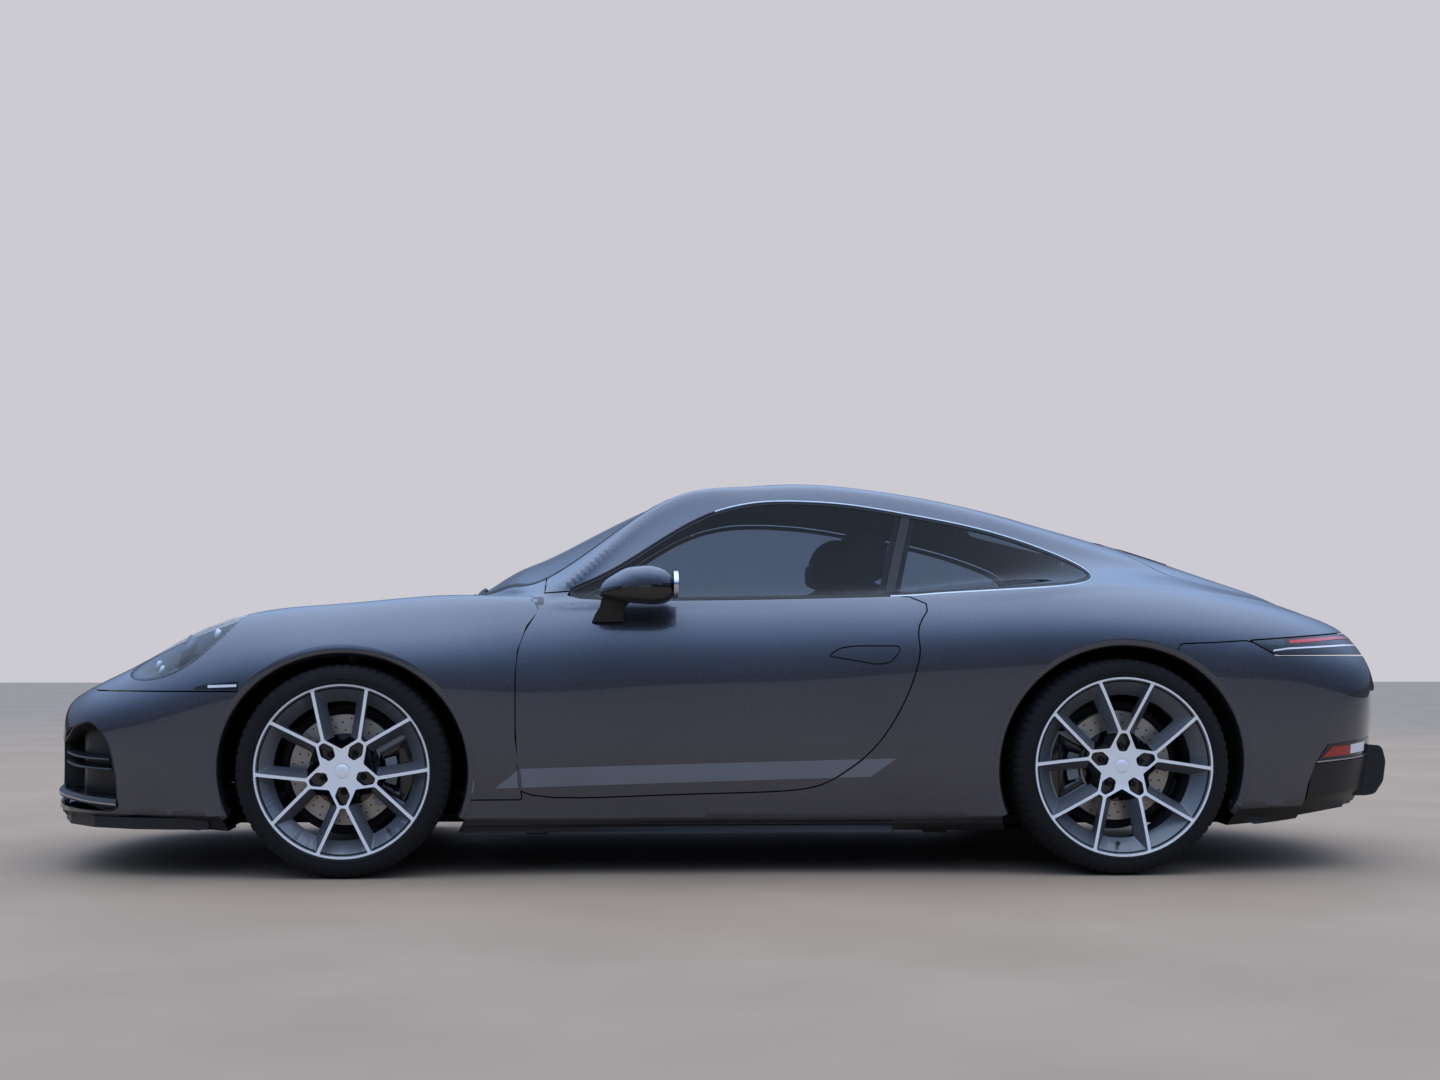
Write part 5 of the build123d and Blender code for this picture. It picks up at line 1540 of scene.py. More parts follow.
@dataclass
class Upholstery:
    """Front seats and rear bench: foam under sewn leather, swollen by a short cloth run."""

    finishes: Finishes
    voxel: float = 6.0
    travel: float = 24.0
    pressure: float = 4.0
    frames: int = 20
    kept_share: float = 0.3

    def block(self, name: str, outline: Outline, low: float, high: float, inset: float = 7.0
              ) -> bpy.types.Object:
        """A cushion before it swells: an outline across a width, drawn in towards its ends."""
        ring = np.array(grown(eased(outline, 38, 4), -inset))
        middle, rows = ring.mean(axis=0), []
        for share in np.linspace(-1, 1, 13):
            size = 1 - 0.14 * abs(share) ** 5
            flat = middle + (ring - middle) * size
            width = (high - low) / 2 - inset
            level = np.full(len(ring), (low + high) / 2 + share * width)
            rows.append(np.stack([flat[:, 0], level, flat[:, 1]], -1))
        piece = lofted(name, rows)
        even = piece.modifiers.new("even", "REMESH")
        even.mode, even.voxel_size, even.use_smooth_shade = "VOXEL", self.voxel * MM, True
        return settle(piece)

    def swell(self, piece: bpy.types.Object) -> bpy.types.Object:
        """Blows the cushion up as cloth, with each point's travel capped."""
        start = vectors(piece.data.vertices, "co")
        cover = piece.modifiers.new("cover", "CLOTH")
        cover.settings.quality = 4
        cover.settings.use_pressure = True
        cover.settings.uniform_pressure_force = self.pressure
        cover.settings.effector_weights.gravity = 0.0
        cover.settings.tension_stiffness = cover.settings.compression_stiffness = 40.0
        scene = bpy.context.scene
        for frame in range(1, self.frames + 1):
            scene.frame_set(frame)
        settle(piece)
        scene.frame_set(1)
        move = vectors(piece.data.vertices, "co") - start
        size = np.linalg.norm(move, axis=1)[:, None]
        move *= np.minimum(1.0, self.travel * MM / np.maximum(size, 1e-9))
        piece.data.vertices.foreach_set("co", (start + move).ravel())
        piece.data.update()
        return piece

    def sew(self, piece: bpy.types.Object, channels: Sequence[tuple[Sequence[float], float]],
            depth: float = 7.0, width: float = 6.0) -> bpy.types.Object:
        """Draws channels in where planes (normal, distance in mm) cross the piece."""
        points = vectors(piece.data.vertices, "co") / MM
        normals = vectors(piece.data.vertices, "normal")
        pull = np.zeros(len(points))
        for normal, distance in channels:
            away = points @ np.array(normal, float) - distance
            pull = np.maximum(pull, np.exp(-(away / width) ** 2))
        points -= normals * pull[:, None] * depth
        piece.data.vertices.foreach_set("co", (points * MM).ravel())
        piece.modifiers.new("thinner", "DECIMATE").ratio = self.kept_share
        settle(piece)
        piece.data.set_sharp_from_angle(angle=math.pi)
        self.finishes.wear(piece, self.finishes.leather)
        return piece

    def build(self) -> dict[str, bpy.types.Object]:
        """Makes the cushions.

        Returns:
            The pieces by name.
        """
        across, up, along = (0, 1, 0), (0, 0, 1), (1, 0, 0)
        # outline in the side view, lowest and highest y, planes of the seams
        parts = {
            "seat_cushions": (
                [(-150, 300), (-104, 378), (230, 345), (430, 300), (330, 162), (-100, 162)], 150, 600,
                [(across, 215), (across, 535), (along, -40), (along, 60), (along, 160)]),
            "seat_backs": (
                [(296, 350), (300, 600), (325, 898), (345, 944), (552, 944), (556, 850), (516, 640),
                 (426, 280), (304, 304)], 175, 575,
                [(across, 232), (across, 518), (up, 470), (up, 590), (up, 710), (up, 830)]),
            "seat_heads": (
                [(342, 946), (398, 1105), (430, 1138), (500, 1138), (533, 1090), (552, 946)], 250, 500,
                [(up, 1040)]),
            "bench_cushions": (
                [(562, 166), (562, 388), (800, 358), (850, 340), (850, 166)], 20, 543,
                [(across, 90), (across, 470), (along, 690)]),
            "bench_backs": (
                [(812, 366), (880, 698), (980, 758), (982, 300), (860, 300)], 20, 543,
                [(across, 90), (across, 470), (up, 520), (up, 630)])}
        return {name: both(self.sew(self.swell(self.block(name, outline, low, high)), channels))
                for name, (outline, low, high, channels) in parts.items()}


# ---- wheels -----------------------------------------------------------------------------
def turned(profile: Sequence[tuple[float, float]], count: int = 128) -> tuple[np.ndarray, np.ndarray]:
    """A closed ring turned about Y from a closed profile of (radius, y) points.

    Returns:
        The points and quads.
    """
    flat = np.array(profile, float)
    turn = np.linspace(0, 2 * math.pi, count, endpoint=False)[:, None]
    points = np.stack([np.sin(turn) * flat[:, 0], np.broadcast_to(flat[:, 1], (count, len(flat))),
                       np.cos(turn) * flat[:, 0]], -1)
    return points.reshape(-1, 3), grid_faces(count, len(flat), True, True)


@dataclass
class AlloyWheel:
    """A wheel with five forked spokes: machined face, grey flanks and barrel."""

    finishes: Finishes
    name: str
    side: int
    axle: float
    track: float
    hub_height: float
    lip_radius: float
    width: float
    turn: float
    dish: float
    root_radius: float = 112.0
    spoke_half: float = 5.2
    notch_radius: float = 70.0
    fork: float = 17.6
    root_fork: float = 6.0
    band: float = 218.0

    def _place(self, points: np.ndarray) -> np.ndarray:
        """Wheel coordinates, with y outwards from the lip's face, carried to the car's."""
        out = np.array(points, float)
        lip = self.track / 2 + self.width / 2
        out[:, 1] = self.side * (lip + out[:, 1])
        out[:, 0] += self.axle
        out[:, 2] += self.hub_height
        return out

    def _piece(self, name: str, points: np.ndarray, faces: object,
               material: bpy.types.Material | None = None) -> bpy.types.Object:
        """A closed piece of the wheel."""
        return closed_piece(name, self._place(points), faces, 0, material)

    def _turned(self, name: str, profile: Outline, material: bpy.types.Material, count: int
                ) -> bpy.types.Object:
        """A piece of the wheel, turned from its profile."""
        return self._piece(name, *turned(profile, count), material)

    def _face(self, radius: np.ndarray | float) -> np.ndarray | float:
        """Where the machined face lies at a radius, behind the lip."""
        share = np.clip((self.lip_radius - radius) / (self.lip_radius - 60), 0, 1)
        return -self.dish * share ** 1.6 - 1.0

    def _windows(self) -> list[tuple[np.ndarray, np.ndarray]]:
        """Front and back outlines of the openings between spokes."""
        outer = self.lip_radius - 6.5
        back_outer = self.lip_radius * self.band / DRAWN_LIP
        out = []

        def at(radius: float, angle: float) -> np.ndarray:
            """A point of the wheel's face from a radius and degrees clockwise from its top."""
            a = math.radians(angle)
            return np.array((math.sin(a), math.cos(a))) * radius

        def moved_line(a: np.ndarray, b: np.ndarray, by: float) -> tuple[np.ndarray, np.ndarray]:
            """A line moved to its right by a distance."""
            run = (b - a) / np.linalg.norm(b - a)
            side = np.array((run[1], -run[0])) * by
            return a + side, b + side

        def meet(one: tuple[np.ndarray, np.ndarray], two: tuple[np.ndarray, np.ndarray]) -> np.ndarray:
            """Where two lines cross."""
            d1, d2 = one[1] - one[0], two[1] - two[0]
            share = np.linalg.solve(np.stack([d1, -d2], 1), two[0] - one[0])[0]
            return one[0] + share * d1

        def rim_point(line: tuple[np.ndarray, np.ndarray], radius: float) -> np.ndarray:
            """Where a line leaves a circle about the hub."""
            a, d = line[0], line[1] - line[0]
            q = np.array([d @ d, 2 * a @ d, a @ a - radius * radius])
            share = (-q[1] + math.sqrt(q[1] ** 2 - 4 * q[0] * q[2])) / (2 * q[0])
            return a + share * d

        def arc(a: np.ndarray, b: np.ndarray, radius: float, count: int = 12) -> list[np.ndarray]:
            """Points along a circle from one point to another."""
            first, last = (math.atan2(p[0], p[1]) for p in (a, b))
            last = first + (last - first + math.pi) % (2 * math.pi) - math.pi
            return [np.array((math.sin(t), math.cos(t))) * radius
                    for t in np.linspace(first, last, count)]

        for k in range(5):
            node = self.turn + 72 * k
            left = (at(self.root_radius, node - self.root_fork), at(outer, node - self.fork))
            right = (at(self.root_radius, node + self.root_fork), at(outer, node + self.fork))
            inner_l, inner_r = moved_line(*left, self.spoke_half), moved_line(*right, -self.spoke_half)
            base = (at(self.root_radius + 3, node - 8), at(self.root_radius + 3, node + 8))
            front, back = [], []
            for rim, corners in ((outer, front), (back_outer, back)):
                a, b = rim_point(inner_l, rim), rim_point(inner_r, rim)
                corners += [meet(inner_l, base), *arc(a, b, rim), meet(inner_r, base)]
            out.append((np.array(front), np.array(back)))
            after = node + 72
            right = (at(self.root_radius, node + self.root_fork), at(outer, node + self.fork))
            left = (at(self.root_radius, after - self.root_fork), at(outer, after - self.fork))
            notch = at(self.notch_radius, node + 36)
            shape = []
            for rim, draft in ((outer, 0.0), (back_outer, 25.0)):
                edge_r = moved_line(*right, self.spoke_half + draft)
                edge_l = moved_line(*left, -self.spoke_half - draft)
                lift = notch * (1 + draft / self.notch_radius)
                away = at(1, node + 36) * (self.spoke_half + draft)
                arm_r = (lift, at(self.root_radius, node + self.root_fork) + away)
                arm_l = (lift, at(self.root_radius, after - self.root_fork) + away)
                a, b = rim_point(edge_r, rim), rim_point(edge_l, rim)
                shape.append(np.array([lift, meet(arm_r, edge_r), *arc(a, b, rim), meet(arm_l, edge_l)]))
            out.append((shape[0], shape[1]))
        return out

    def _cutter(self, front: np.ndarray, back: np.ndarray, depth: float, reach: float = 60.0,
                round_by: float = 5.0) -> bpy.types.Object:
        """A closed opening from a front to a back outline, run on past both."""
        rings = []
        before = [np.array(eased(o, round_by, 3)) for o in (front, back)]
        slope = (before[1] - before[0]) / depth
        for flat, y in ((before[0] - slope * 10, 10 - 1.0), (before[0], -1.0), (before[1], -depth),
                        (before[1], -depth - reach)):
            level = np.full(len(flat), float(y))
            if y in (9.0, -1.0):
                level = level + self._face(np.hypot(flat[:, 0], flat[:, 1])) + 1.0
            rings.append(np.stack([flat[:, 0], level, flat[:, 1]], -1))
        piece = self._piece("opening", np.concatenate(rings), ring_faces(4, len(before[0])))
        piece.data.shade_flat()
        return piece

    def build_rim(self) -> bpy.types.Object:
        """The wheel itself, with barrel, cap and bolts."""
        r = self.lip_radius
        radii = np.concatenate([np.linspace(26, r - 7, 34), [r - 6.4]])
        front = [(q, float(self._face(q))) for q in radii] + [(r - 6.0, 0.0), (r - 0.8, 0.0), (r, -1.0),
                                                               (r, -10)]
        flange = r - 16
        scale = r / DRAWN_LIP
        band = self.band * scale
        back = [(flange, -13), (flange, -30), (flange - 14, -44), (band + 8, -50), (band + 6, -58),
                (band - 6, -58), (190, -57), (150, -55), (110, -51), (34, -51)]
        rim = self._piece(self.name, *turned(front + back, 240))
        cutters = [self._cutter(a, b, 50.0) for a, b in self._windows()]
        cutters += [self._pocket(self.turn + 72 * k) for k in range(5)]
        carve(rim, [(Cut.REMOVE, c) for c in cutters])
        discard(*cutters)
        f = self.finishes
        rim.data.materials.clear()
        for material in (f.rim_grey, f.machined, f.gloss_black):
            rim.data.materials.append(material)
        parts = [rim, self._barrel(), self._cap(), self._valve()]
        rim.data.shade_smooth()
        self._sort_faces(rim)
        parts.append(self._bolts())
        joined = join(parts, self.name)
        joined.data.set_sharp_from_angle(angle=math.radians(28))
        return joined

    def _pocket(self, node: float) -> bpy.types.Object:
        """Cutter for the pocket round one wheel bolt."""
        shape = [(-12, 48), (12, 48), (24, 76), (9.5, 106), (-9.5, 106), (-24, 76)]
        a = math.radians(node)
        flat = np.array([(x * math.cos(a) + q * math.sin(a), -x * math.sin(a) + q * math.cos(a))
                         for x, q in eased(shape, 7, 3)])
        count = len(flat)
        rings = [np.stack([flat[:, 0], np.full(count, y), flat[:, 1]], -1) for y in (10.0, -44.0)]
        return self._piece("pocket", np.concatenate(rings), ring_faces(2, count))

    def _sort_faces(self, rim: bpy.types.Object) -> None:
        """Gives the turned face and lip the machined finish, the rest grey, and paints the recessed pocket
        faces near the hub black as painted shade.
        """
        for face in rim.data.polygons:
            x, y, z = face.center / MM
            radius = math.hypot(x - self.axle, z - self.hub_height)
            depth = self.side * y - (self.track + self.width) / 2
            outward = face.normal.y * self.side
            if outward > 0.8 and abs(depth - self._face(radius)) < 1.6 and radius < self.lip_radius - 7:
                face.material_index = 1
            elif radius >= self.lip_radius - 7.2 and depth > -6:
                face.material_index = 1
            # recessed faces near the hub are painted black: painted shade in the bolt pockets
            elif radius < 108 and depth < self._face(radius) - 1.5 and outward > -0.5:
                face.material_index = 2
            else:
                face.material_index = 0

    def _barrel(self) -> bpy.types.Object:
        """The barrel behind the spokes, back to the inner flange."""
        r, w, b = self.lip_radius, self.width, self.band * self.lip_radius / DRAWN_LIP
        flange = r - 16
        profile = [(b + 3, -50), (236, -61), (238, -165), (flange - 8, -185), (flange - 8, -w + 14),
                   (r - 9, -w + 1), (r - 2, -w + 1), (r - 2, -w + 8), (flange, -w + 16), (flange, -183),
                   (244, -163), (242, -61), (b + 10, -50)]
        return self._turned("barrel", profile, self.finishes.rim_grey, 120)

    def _cap(self) -> bpy.types.Object:
        """A bare, slightly crowned centre cap."""
        y = float(self._face(20.0))
        profile = [(0.5, y - 20), (0.5, y + 2.2), (10, y + 1.8), (18, y + 1.0), (21.5, y - 0.4),
                   (22, y - 1.6), (24.6, y - 1.8), (25.2, y - 0.2), (28, y - 0.4), (28, y - 20)]
        return self._turned("cap", profile, self.finishes.machined, 64)

    def _valve(self) -> bpy.types.Object:
        """The tyre valve near the wheel's lowest gap."""
        profile = [(0.3, 0), (3.2, 0), (4, -3), (4, -14), (5.5, -16), (5.5, -38), (0.3, -38)]
        points, faces = turned(profile, 16)
        a = math.radians(self.turn + 180 + (self.turn if abs(self.turn) < 20 else 0))
        radius = self.lip_radius - 40
        points = points + np.array((math.sin(a) * radius, -12, math.cos(a) * radius))
        return self._piece("valve", points, faces, self.finishes.gloss_black)

    def _bolts(self) -> bpy.types.Object:
        """Five wheel bolts, set round the hub by nodes."""
        base = -44.0
        hexagon = [(math.sin(math.radians(60 * k)) * 9.5, math.cos(math.radians(60 * k)) * 9.5)
                   for k in range(6)]
        rings = []
        for scale, y in ((1.25, base), (1.25, base + 5), (1.0, base + 6), (1.0, base + 17),
                         (0.82, base + 19), (0.6, base + 19), (0.55, base + 12)):
            rings.append([(x * scale, y, z * scale) for x, z in hexagon])
        points = np.array(rings).reshape(-1, 3)
        points[:, 2] += 65
        bolt = self._piece("bolt", points, ring_faces(len(rings), 6))
        bolt.data.shade_flat()
        spot = Vector((self.axle, 0, self.hub_height)) * MM
        step = math.radians(72)
        ring = Repeater("bolt_ring").run(bolt, self.finishes.chassis, 5, turn=(0, step, 0), pivot=spot,
                                         first=math.radians(self.turn))
        discard(bolt)
        return ring


def join(pieces: Sequence[bpy.types.Object], name: str) -> bpy.types.Object:
    """Joins pieces into the first one, keeping their materials."""
    keep = pieces[0]
    work = bmesh.new()
    slots: list[bpy.types.Material] = []
    for piece in pieces:
        own = [slot.material for slot in piece.material_slots] or [None]
        for material in own:
            if material not in slots:
                slots.append(material)
        mesh = piece.data
        lookup = [slots.index(m) for m in own]
        picked = [lookup[min(f.material_index, len(lookup) - 1)] for f in mesh.polygons]
        if picked:
            mesh.polygons.foreach_set("material_index", picked)
        work.from_mesh(mesh)
    keep.data.materials.clear()
    for material in slots:
        keep.data.materials.append(material)
    work.to_mesh(keep.data)
    work.free()
    discard(*pieces[1:])
    keep.name = name
    return keep


@dataclass
class Repeater:
    """Copies a piece in even steps, by turning it round a pivot and moving it along."""

    name: str

    def _tree(self) -> bpy.types.NodeTree:
        """Builds the node tree with named inputs for its sizes."""
        tree = bpy.data.node_groups.new(self.name, "GeometryNodeTree")
        face = tree.interface
        face.new_socket("Geometry", in_out="INPUT", socket_type="NodeSocketGeometry")
        for title, kind in (("Count", "NodeSocketInt"), ("First", "NodeSocketFloat"),
                            ("Turn", "NodeSocketVector"), ("Move", "NodeSocketVector"),
                            ("Pivot", "NodeSocketVector"), ("Material", "NodeSocketMaterial")):
            face.new_socket(title, in_out="INPUT", socket_type=kind)
        face.new_socket("Geometry", in_out="OUTPUT", socket_type="NodeSocketGeometry")
        new, link = tree.nodes.new, tree.links.new
        entry, leave = new("NodeGroupInput"), new("NodeGroupOutput")
        line = new("GeometryNodeMeshLine")
        line.inputs["Offset"].default_value = (0, 0, 0)
        index = new("GeometryNodeInputIndex")
        place = new("GeometryNodeInstanceOnPoints")

        def by_index(socket: bpy.types.NodeSocket, extra: bpy.types.NodeSocket | None = None
                     ) -> bpy.types.NodeSocket:
            """A vector input times the copy's number."""
            scale = new("ShaderNodeVectorMath")
            scale.operation = "SCALE"
            link(socket, scale.inputs[0])
            if extra is None:
                link(index.outputs[0], scale.inputs["Scale"])
                return scale.outputs[0]
            total = new("ShaderNodeMath")
            total.operation = "ADD"
            link(index.outputs[0], total.inputs[0])
            link(extra, total.inputs[1])
            link(total.outputs[0], scale.inputs["Scale"])
            return scale.outputs[0]

        rotate, move = new("GeometryNodeRotateInstances"), new("GeometryNodeTranslateInstances")
        rotate.inputs["Local Space"].default_value = False
        move.inputs["Local Space"].default_value = False
        real, dress = new("GeometryNodeRealizeInstances"), new("GeometryNodeSetMaterial")
        link(entry.outputs["Count"], line.inputs["Count"])
        link(line.outputs[0], place.inputs["Points"])
        link(entry.outputs["Geometry"], place.inputs["Instance"])
        link(place.outputs[0], rotate.inputs["Instances"])
        link(by_index(entry.outputs["Turn"], entry.outputs["First"]), rotate.inputs["Rotation"])
        link(entry.outputs["Pivot"], rotate.inputs["Pivot Point"])
        link(rotate.outputs[0], move.inputs["Instances"])
        link(by_index(entry.outputs["Move"]), move.inputs["Translation"])
        link(move.outputs[0], real.inputs[0])
        link(real.outputs[0], dress.inputs[0])
        link(entry.outputs["Material"], dress.inputs["Material"])
        link(dress.outputs[0], leave.inputs[0])
        return tree

    def run(self, template: bpy.types.Object, material: bpy.types.Material, count: int,
            turn: tuple[float, float, float] = (0, 0, 0), move: tuple[float, float, float] = (0, 0, 0),
            pivot: Vector | tuple[float, float, float] = (0, 0, 0), first: float = 0.0
            ) -> bpy.types.Object:
        """Repeats a piece.

        Args:
            template: the piece, which is left as it is.
            material: what the copies wear.
            count: how many copies.
            turn: turn between copies, in radians about each axis.
            move: step between copies, in metres.
            pivot: the point it turns about, in metres.
            first: angle of the first copy, in radians of the turn.

        Returns:
            A plain mesh of all the copies.
        """
        tree = self._tree()
        piece = copied(template, self.name)
        node = piece.modifiers.new("repeat", "NODES")
        node.node_group = tree
        size = math.sqrt(sum(v * v for v in turn)) or 1.0
        values = {"Count": count, "First": first / size, "Turn": tuple(turn), "Move": tuple(move),
                  "Pivot": tuple(pivot), "Material": material}
        for item in tree.interface.items_tree:
            if item.in_out == "INPUT" and item.name in values:
                node[item.identifier] = values[item.name]
        piece.data.update()
        settle(piece)
        bpy.data.node_groups.remove(tree)
        return piece


@dataclass
class Tyre:
    """A low tyre with grooves round it and cuts across its shoulders."""

    finishes: Finishes
    name: str
    side: int
    axle: float
    track: float
    hub_height: float
    radius: float
    width: float
    lip_radius: float
    rim_width: float
    flat: float = 0.4

    def build(self) -> bpy.types.Object:
        """Makes the tyre, pressed flat where it stands."""
        half, r, bead = self.width / 2, self.radius, self.lip_radius
        seat = self.rim_width / 2
        tread = half - 20
        edge: list[tuple[float, float]] = []
        for y in np.linspace(-tread, tread, 57):
            crown = r - 3.5 * (y / tread) ** 2 - 3.0 * abs(y / tread) ** 6
            groove = any(abs(y - c * tread) < 4.6 for c in (-0.62, -0.22, 0.22, 0.62))
            edge.append((crown - (6.0 if groove else 0.0), float(y)))
        wall = [(r - 9, tread + 6), (r - 17, tread + 12.5), (r - 27, half - 3), (r - 38, half),
                (r - 46, half), (r - 47, half - 1.2), (r - 52, half - 1.0), (r - 53, half),
                (bead + 7, half - 0.5), (bead + 3, half - 1.6), (bead + 1.2, seat + 0.5),
                (bead - 1, seat - 3), (bead - 13, seat - 5), (bead - 16, seat - 12),
                (bead - 16, seat - 22), (bead - 8, seat - 26), (r - 40, half - 14), (r - 20, tread)]
        mirror = [(q, -y) for q, y in wall][::-1]
        profile = mirror + edge + wall
        count = 72 * 5
        points, faces = turned(profile, count)
        grid = points.reshape(count, len(profile), 3)
        step = np.arange(count) % 5
        for k, (q, y) in enumerate(profile):
            shoulder = 0.64 * tread < abs(y) < tread + 13 and q > r - 20
            inner = 0.26 * tread < abs(y) < 0.58 * tread and q > r - 6
            if shoulder or inner:
                cut = (step == 0) if shoulder else (step == 2)
                scale = np.where(cut, 1 - (4.2 if shoulder else 3.0) / q, 1.0)[:, None]
                grid[:, k, 0::2] *= scale
        out = grid.reshape(-1, 3).copy()
        out[:, 1] = out[:, 1] + self.side * self.track / 2
        out[:, 0] += self.axle
        out[:, 2] += self.hub_height
        out[:, 2] = np.maximum(out[:, 2], self.flat)
        return closed_piece(self.name, out, faces, 40, self.finishes.rubber)


@dataclass
class Brake:
    """A drilled, vented disc with its hat."""

    finishes: Finishes
    name: str
    side: int
    axle: float
    hub_height: float
    face: float
    radius: float = 175.0
    inner: float = 112.0
    holes: int = 16

    def build(self) -> bpy.types.Object:
        """Makes the disc."""
        f = self.finishes
        s = self.side

        def ring(profile: Sequence[tuple[float, float]], material: bpy.types.Material,
                 count: int = 120) -> bpy.types.Object:
            """A turned ring at the disc's place."""
            points, faces = turned(profile, count)
            points[:, 1] = s * (self.face + points[:, 1])
            points += (self.axle, 0, self.hub_height)
            return closed_piece("ring", points, faces, 0, material)

        r, q = self.radius, self.inner
        outer = ring([(q, 0), (r - 1, 0), (r, -1), (r, -9), (q, -9)], f.disc)
        back = ring([(q, -21), (r, -21), (r, -30), (q, -30)], f.disc)
        # the gloss black ring fills the vent between the two faces and shows through the drilled holes,
        # standing in for the shade in the vent channels: painted shade
        core = ring([(q + 8, -9), (r - 6, -9), (r - 6, -21), (q + 8, -21)], f.gloss_black, 64)
        hat = ring([(34, 52), (80, 52), (84, 48), (86, 4), (q + 3, 0.6), (q + 3, -8), (79, -6), (77, 44),
                    (34, 44)], f.gloss_black, 96)
        points, faces = turned([(0.2, 4), (3.2, 4), (3.2, -12), (0.2, -12)], 10)
        points[:, 1] = s * (self.face + points[:, 1])
        drill = closed_piece("drill", points + (self.axle, 0, self.hub_height), faces)
        cutters = []
        step = 2 * math.pi / self.holes
        for radius, offset in ((q + 13, 0.0), (q + 25, 0.33), (q + 38, 0.66), (q + 51, 1.0)):
            one = copied(drill, "drill")
            one.data.transform(Matrix.Translation((0, 0, radius * MM)))
            cutters.append(Repeater("drill_ring").run(
                one, f.gloss_black, self.holes, turn=(0, step, 0),
                pivot=(self.axle * MM, 0, self.hub_height * MM), first=step * offset * 1.3))
            discard(one)
        carve(outer, [(Cut.REMOVE, c) for c in cutters])
        f.wear(outer, f.disc)
        discard(drill, *cutters)
        piece = join([outer, back, core, hat], self.name)
        piece.data.set_sharp_from_angle(angle=math.radians(30))
        return piece


@dataclass
class Caliper:
    """A fixed caliper's outer half with its pad window and bolts, and the dust shield behind."""

    finishes: Finishes
    side: int
    axle: float
    hub_height: float
    face: float
    towards: int

    def _place(self, points: np.ndarray) -> np.ndarray:
        """Points round the hub, with y out from the disc's face, carried to the car's."""
        return points * (self.towards, self.side, 1) + (self.axle, self.side * self.face, self.hub_height)

    def _slab(self, name: str, outline: Outline, levels: Sequence[tuple[float, float]],
              material: bpy.types.Material) -> bpy.types.Object:
        """A closed slab over an outline in the side view.

        Args:
            name: the piece's name.
            outline: points round the hub.
            levels: how far out and how much the outline grows, from behind to front.
            material: what it wears.

        Returns:
            The slab.
        """
        rings = [np.array([(x, y, z) for x, z in grown(outline, by)]) for y, by in levels]
        faces = ring_faces(len(rings), len(rings[0]))
        return closed_piece(name, self._place(np.concatenate(rings)), faces, 50, material)

    def build(self, name: str) -> bpy.types.Object:
        """Makes the caliper's outer half."""
        def sector(inner: float, outer: float, half: float) -> list[tuple[float, float]]:
            """A sector of a ring round the hub."""
            turn = np.radians(np.linspace(-half, half, 19))
            arc = [(outer * math.cos(a), outer * math.sin(a)) for a in turn]
            chord = [(inner * math.cos(a), inner * math.sin(a)) for a in turn[::-1]]
            return eased(arc + chord, 6, 2)

        f = self.finishes
        body = self._slab(name, sector(118, 226, 30), [(5.2, 0), (34, 0), (38.5, -3), (40.6, -9)],
                          f.gloss_black)
        window = self._slab("window", sector(132, 168, 16), [(12, 0), (60, 0)], f.black)
        carve(body, [(Cut.REMOVE, window)])
        discard(window)
        pads = self._slab("pad", sector(128, 171, 17), [(5.4, 0), (30, 0)], f.cast)
        parts = [body, pads]
        for angle in (-23, 23):
            a = math.radians(angle)
            spot = np.array((196 * math.cos(a), 0, 196 * math.sin(a)))
            points, faces = turned([(0.3, 36), (0.3, 43), (6, 43), (8, 41), (8, 36)], 24)
            parts.append(closed_piece("bolt", self._place(points + spot), faces, 0, f.chassis))
        return join(parts, name)

    def shield(self, name: str) -> bpy.types.Object:
        """Makes the pressed dust shield behind the disc."""
        profile = [(64, -37.5), (64, -39), (186, -39), (198, -34), (206, -34), (206, -32.5), (197, -32.5),
                   (185, -37.5)]
        points, faces = turned(profile, 96)
        return closed_piece(name, self._place(points), faces, 0, self.finishes.chassis)


